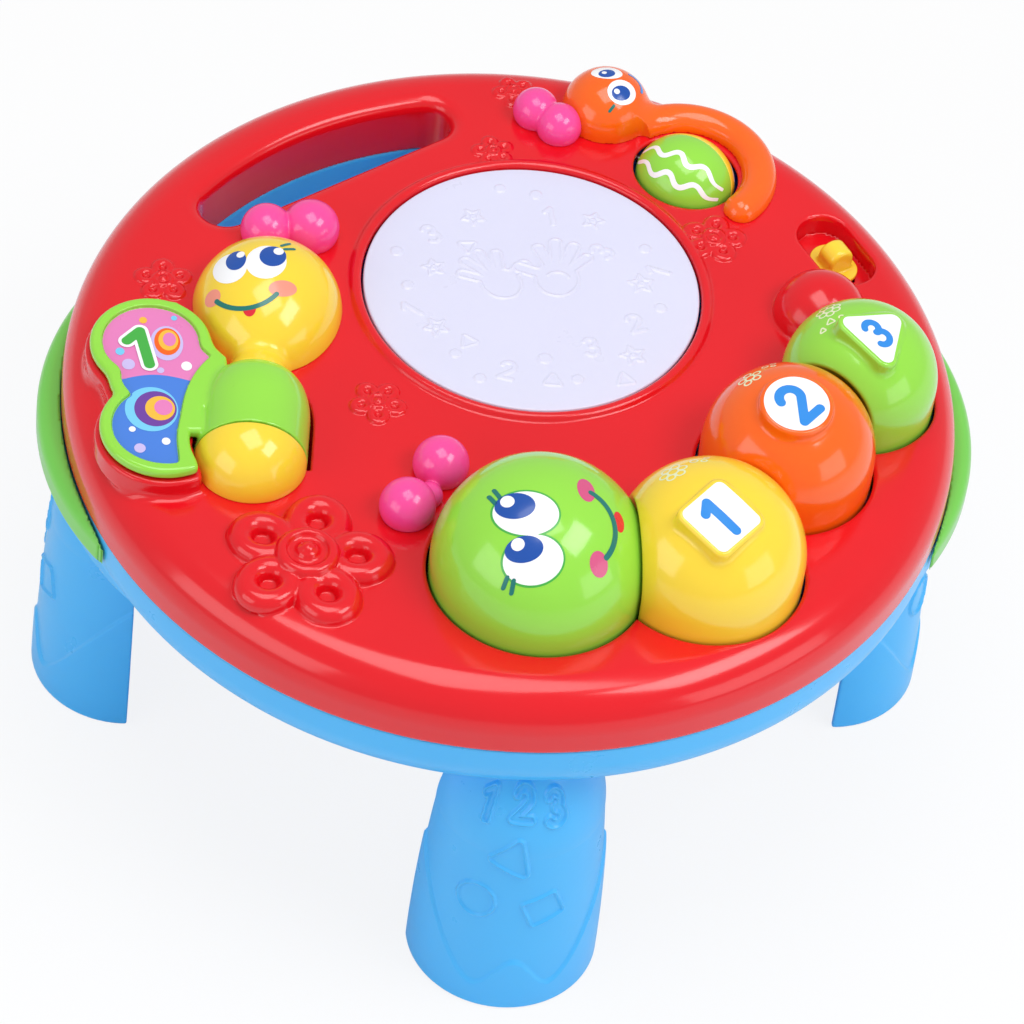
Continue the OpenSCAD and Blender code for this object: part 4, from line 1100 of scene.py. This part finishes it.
SNAIL_FACE = (
    ("eyes", ovals((-0.9, 10.3, 5.5, 3.3, -13), (0.4, 0.9, 5.7, 5.1)), WHITE_INK, 1),
    ("pupils", ovals((-1.5, 10.0, 3.1, 2.0), (-0.3, 0.5, 3.7, 3.0)), NAVY_INK, 2),
    ("glints", ovals((-2.3, 10.5, 0.9, 0.7), (-1.8, 1.4, 1.1, 1.1)), WHITE_INK, 3),
    ("lashes", strokes(1.1, [(-4.4, -3.6), (-6.2, -5.0)]), TEAL_INK, 2),
    ("smile", bow((8.2, 8.0), (10.6, 4.6), (9.4, 0.2), 1.2), BLUE_INK, 2))
for animal, marks, c, size, place, target, body, step in (
        ("worm", WORM_FACE, (0.0, 0.0), 27.0,
         face_place((1.0, -98.0, 163.0), (0.0467, -0.4139, 0.9091), (0.9942, 0.1077, -0.0021),
                    (-0.0971, 0.9039, 0.4166)), key_form(0), "worm_head", 0.3),
        ("butterfly", BUTTERFLY_FACE, (-2.0, 2.0), 21.0,
         face_place((*BUG_HEAD, TOP - 4.0), (-0.1472, -0.3527, 0.9241), (0.9854, 0.0284, 0.1678),
                    (-0.0855, 0.9353, 0.3434)), bug_head, "table", 0.3),
        ("snail", SNAIL_FACE, (0.0, 2.0), 13.5,
         face_place((*SNAIL_HEAD, TOP + 1.5), (0.2541, -0.3857, 0.8869), (0.9253, 0.3639, -0.1068),
                    (-0.2815, 0.8478, 0.4494)), snail_body, "table", 0.22)):
    for name, fn, ink, layer in marks:
        film(f"{animal}_{name}", fn, c, size, place, target, ink, body, layer, step)


# ---- prints of the keys
def ring(cu, cv, r, width=0.6):
    return lambda u, v: np.abs(hypot(u - cu, v - cv) - r) - width / 2.0


def rosette(cu, cv, size, count, turn):
    """Thin outline of a round blossom of rings."""
    rings = [ring(cu, cv, 0.42 * size, 0.64)]
    for k in range(count):
        a = turn + 2 * pi * k / count
        rings.append(ring(cu + 0.78 * size * cos(a), cv + 0.78 * size * sin(a), 0.34 * size, 0.64))
    return any_of(*rings)


def small_triangle(cu, cv, side):
    return lambda u, v: np.abs(triangle_plan(u - cu, v - cv, side, 0.4)) - 0.3


# node, size of the numeral, and the drawing's direction from the dome's middle, shapes and half size
for n, (node, big, toward, drawing, size) in enumerate((
        ("key_one", 1.4, (-0.36, 0.36, 0.86),
         (rosette(-2.5, 0.5, 4.6, 6, 0.2), ring(5.4, 4.6, 1.3), ring(8.8, 3.6, 1.0), ring(9.8, 6.6, 0.8)),
         12.0),
        ("key_two", 1.4, (-0.42, 0.40, 0.81),
         (rosette(-2.5, -0.5, 4.0, 5, 0.5), ring(3.8, 4.8, 1.1), ring(6.8, 7.0, 0.9), ring(6.6, 3.6, 0.8)),
         11.0),
        ("key_three", 1.05, (-0.46, 0.30, 0.83),
         (rosette(0.0, 3.0, 4.2, 7, 0.3), small_triangle(-0.5, -5.0, 3.6), small_triangle(-4.2, -7.4, 2.8),
          ring(3.6, -4.6, 0.8)), 11.5)), 1):
    c, (ua, va, na), plan = LABELS[n]
    ra, rb, _ = local_frame(na, READING)
    dome = key_form(n)

    def numeral(u, v):
        p = (u * (ua @ ra) + v * (va @ ra)) / big
        q = (u * (ua @ rb) + v * (va @ rb)) / big
        return (DIGITS[n](p, q) - 1.25) * big

    place = face_place(c, na, ua, va, 20.0)
    film(node + "_label", plan, (0.0, 0.0), 16.5, place, dome, WHITE_INK, node, 1)
    film(node + "_numeral", numeral, (0.0, 0.0), 9.0, place, dome, BLUE_INK, node, 2)
    cx, cy, _, skirt = KEYS[n]
    da, db, dn = local_frame(toward, (1.0, 0.0, 0.0))
    place = face_place((cx, cy, TOP + skirt), dn, da, db)
    film(node + "_drawing", any_of(*drawing), (0.0, 0.0), size, place, dome, PALE_INK, node, 1, 0.25)


# ---- picture of the wing, laid in its recess
def card(u, v):
    return recess(u, v, -0.3)


def upper_part(u, v):
    return -19.5 + 2.8 * np.sin((u + 142.0) / 8.0) - v


wing_place = ((0.0, 0.0, CARD_Z + 8.0), (1, 0, 0), (0, 1, 0), (0, 0, -1))
ONE = [(-138.6, -0.6), (-134.0, 4.2), (-131.0, -12.0)]
for name, fn, ink, layer in (
        ("card_far", lambda u, v: most(card(u, v), upper_part(u, v)), CARD_PINK, 2),
        ("card_near", lambda u, v: most(card(u, v), -upper_part(u, v)), CARD_BLUE, 2),
        ("hoop_outer", ovals((-124.6, -1.4, 5.8, 8.4)), LILAC_INK, 4),
        ("hoop_orange", ovals((-124.4, -0.6, 4.6, 6.6)), ORANGE, 5),
        ("hoop_yellow", ovals((-124.0, 0.0, 3.5, 5.0)), AMBER_INK, 6),
        ("hoop_pink", ovals((-123.6, 0.4, 2.3, 3.3)), CARD_PINK, 7),
        ("one_edge", strokes(6.2, ONE), WHITE_INK, 8),
        ("one", strokes(3.9, ONE), LEAF_INK, 9),
        ("pool_outer", ovals((-131.0, -33.4, 9.3, 10.6)), CYAN_INK, 4),
        ("pool_purple", ovals((-129.6, -33.2, 7.4, 8.4)), PURPLE_INK, 5),
        ("pool_yellow", ovals((-128.0, -33.0, 5.2, 5.8)), AMBER_INK, 6),
        ("pool_pink", ovals((-126.8, -32.6, 3.2, 3.7)), CARD_PINK, 7),
        ("dots_pale", ovals((-138.4, -11.8, 2.3, 2.6), (-127.2, -14.6, 1.3, 1.4), (-141.0, -24.6, 1.2, 1.3),
                            (-135.6, -52.0, 2.0, 2.2)), LILAC_INK, 4),
        ("dots_yellow", ovals((-132.6, 9.8, 1.4, 1.6), (-119.6, -49.6, 1.5, 1.6)), AMBER_INK, 4),
        ("dots_blue", ovals((-141.2, -5.6, 1.6, 1.8), (-121.6, 11.0, 1.1, 1.2)), CYAN_INK, 4),
        ("dots_white", ovals((-118.0, -12.4, 1.9, 2.2), (-126.4, -48.6, 1.5, 1.7), (-138.0, -43.0, 1.2, 1.3)),
         WHITE_INK, 4)):
    def trimmed(u, v):
        return most(fn(u, v), card(u, v) + 0.4) if layer > 2 else fn(u, v)

    o = print_on("wing_" + name, trimmed, (-148.0, -63.0), (-105.0, 18.5), 0.3, wing_place,
                 lambda x, y, z: z - CARD_Z, ink, "wing", layer)
    if name.startswith("card"):
        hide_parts("wing_picture")


# ---- pale waves round the roller
def waves(u, v):
    """Two wavy lines along the roller, in the plane of a print on its side."""
    height, length = 1.7, 11.0
    r = ROLLER_B * np.sqrt(most(1.0 - (u / ROLLER_A) ** 2, 0.04))
    arc = np.arcsin(clip(v / r, -1.0, 1.0)) * ROLLER_B
    phase = 2 * pi * (u + 4.6) / length
    line = height * np.sin(phase)
    slope = height * 2 * pi / length * np.cos(phase)
    d = least(np.abs(arc - 4.4 - line), np.abs(arc + 4.4 - line)) / np.sqrt(1.0 + slope * slope) - 1.05
    return most(d, np.abs(u) - 17.0)


axis = np.array((cos(ROLLER_TURN), sin(ROLLER_TURN), 0.0))
back = np.array((-sin(ROLLER_TURN), cos(ROLLER_TURN), 0.0))
rise = np.array((0, 0, 1.0))
for k, middle in enumerate((34.0, 106.0, 214.0, 286.0)):
    a = radians(middle)
    place = face_place((*SNAIL, ROLLER_Z), rise * cos(a) - back * sin(a), axis,
                       back * cos(a) + rise * sin(a), 30.0)
    film(f"roller_waves_{k}", waves, (0.0, 0.0), 17.4, place, roller_form, WHITE_INK, "roller", 1, 0.25)

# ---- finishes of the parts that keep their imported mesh
FINISH = {
    STEEL: ("wing_axle", "roller_pin", "board_screws", "shell_screws", "cover_screw", "cell_contacts"),
    RUBBER: ("drum_contacts", "head_contact", "key_one_contact", "key_two_contact", "key_three_contact"),
    BOARD: ("main_board", "key_board"),
    CHIP: ("sound_chip", "slide_switch"),
    DARK: ("loudspeaker",),
    BRASS: ("cells",),
    BLUE: ("battery_cover",),
    RED_INK: ("lamps",),
}
for paint, names in FINISH.items():
    for name in names:
        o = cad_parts[name]
        o.data.materials.clear()
        o.data.materials.append(paint)


# ---- floor, light and camera
def seen_white(tree, shader, out, white, end, share):
    """Camera rays see a plain white in that share, and all other rays see the shader alone."""
    rays = node_of(tree, "ShaderNodeLightPath")
    part = node_of(tree, "ShaderNodeMath")
    part.operation = "MULTIPLY"
    part.inputs[1].default_value = share
    both = node_of(tree, "ShaderNodeMixShader")
    wire(tree, rays, "Is Camera Ray", part, 0)
    wire(tree, part, "Value", both, "Fac")
    wire(tree, shader, out, both, 1)
    wire(tree, white, 0, both, 2)
    wire(tree, both, "Shader", end, "Surface")


bpy.ops.mesh.primitive_plane_add(size=12.0, location=(0, 0, -0.0005))
floor = bpy.context.object
floor.name = "floor"
floor_paint = bpy.data.materials.new("floor_paint")
floor_paint.use_nodes = True
ft = floor_paint.node_tree
fs = ft.nodes["Principled BSDF"]
fs.inputs["Roughness"].default_value = 0.75
speckle = node_of(ft, "ShaderNodeTexNoise", Scale=30.0, Detail=3.0)
tone = node_of(ft, "ShaderNodeValToRGB")
tone.color_ramp.elements[0].color = (0.86, 0.86, 0.87, 1)
tone.color_ramp.elements[1].color = (0.90, 0.90, 0.91, 1)
wire(ft, speckle, "Fac", tone, "Fac")
wire(ft, tone, "Color", fs, "Base Color")
glow = node_of(ft, "ShaderNodeEmission", Color=(1, 1, 1, 1), Strength=1.0)
seen_white(ft, fs, "BSDF", glow, ft.nodes["Material Output"], 0.86)
floor.data.materials.append(floor_paint)

# name, place, point it faces, sides in m, power in W
for name, place, aim, (side, side_y), power in (
        ("key_light", (0.85, -0.45, 1.5), (0, 0, 0.12), (0.9, 0.6), 9.0),
        ("fill_light", (-1.35, -0.75, 0.7), (0, 0, 0.08), (1.1, 0.8), 5.0),
        ("low_light", (1.2, -0.9, 0.45), (0, 0, 0.06), (0.9, 0.6), 2.6),
        ("top_light", (-0.1, -0.05, 1.9), (0, 0, 0.15), (1.2, 1.0), 12.0)):
    data = bpy.data.lights.new(name, "AREA")
    data.shape, data.size, data.size_y, data.energy = "RECTANGLE", side, side_y, power
    lamp = bpy.data.objects.new(name, data)
    lamp.location = place
    lamp.rotation_euler = (Vector(aim) - Vector(place)).to_track_quat("-Z", "Y").to_euler()
    bpy.context.scene.collection.objects.link(lamp)

world = bpy.data.worlds.new("studio")
bpy.context.scene.world = world
world.use_nodes = True
wt = world.node_tree
studio = wt.nodes["Background"]
studio.inputs["Color"].default_value = (0.97, 0.98, 1.0, 1)
studio.inputs["Strength"].default_value = 0.5
white = node_of(wt, "ShaderNodeBackground", Color=(1, 1, 1, 1), Strength=1.0)
seen_white(wt, studio, "Background", white, wt.nodes["World Output"], 1.0)

camera_data = bpy.data.cameras.new("camera")
camera_data.sensor_width = 36.0
camera_data.sensor_fit = "HORIZONTAL"
camera_data.lens = 210.94
camera_data.clip_end = 20.0
camera = bpy.data.objects.new("camera", camera_data)
right = (0.99306944, -0.07210883, 0.09280843)
up = (-0.00916121, 0.73976777, 0.67279991)
look = (0.1171715, 0.66898727, -0.73398016)
stand = (-0.251077, -1.469719, 1.693092)
camera.matrix_world = Matrix([(right[n], up[n], -look[n], stand[n]) for n in range(3)] + [(0, 0, 0, 1)])
bpy.context.scene.collection.objects.link(camera)
bpy.context.scene.camera = camera
bpy.context.scene.view_settings.view_transform = "Standard"
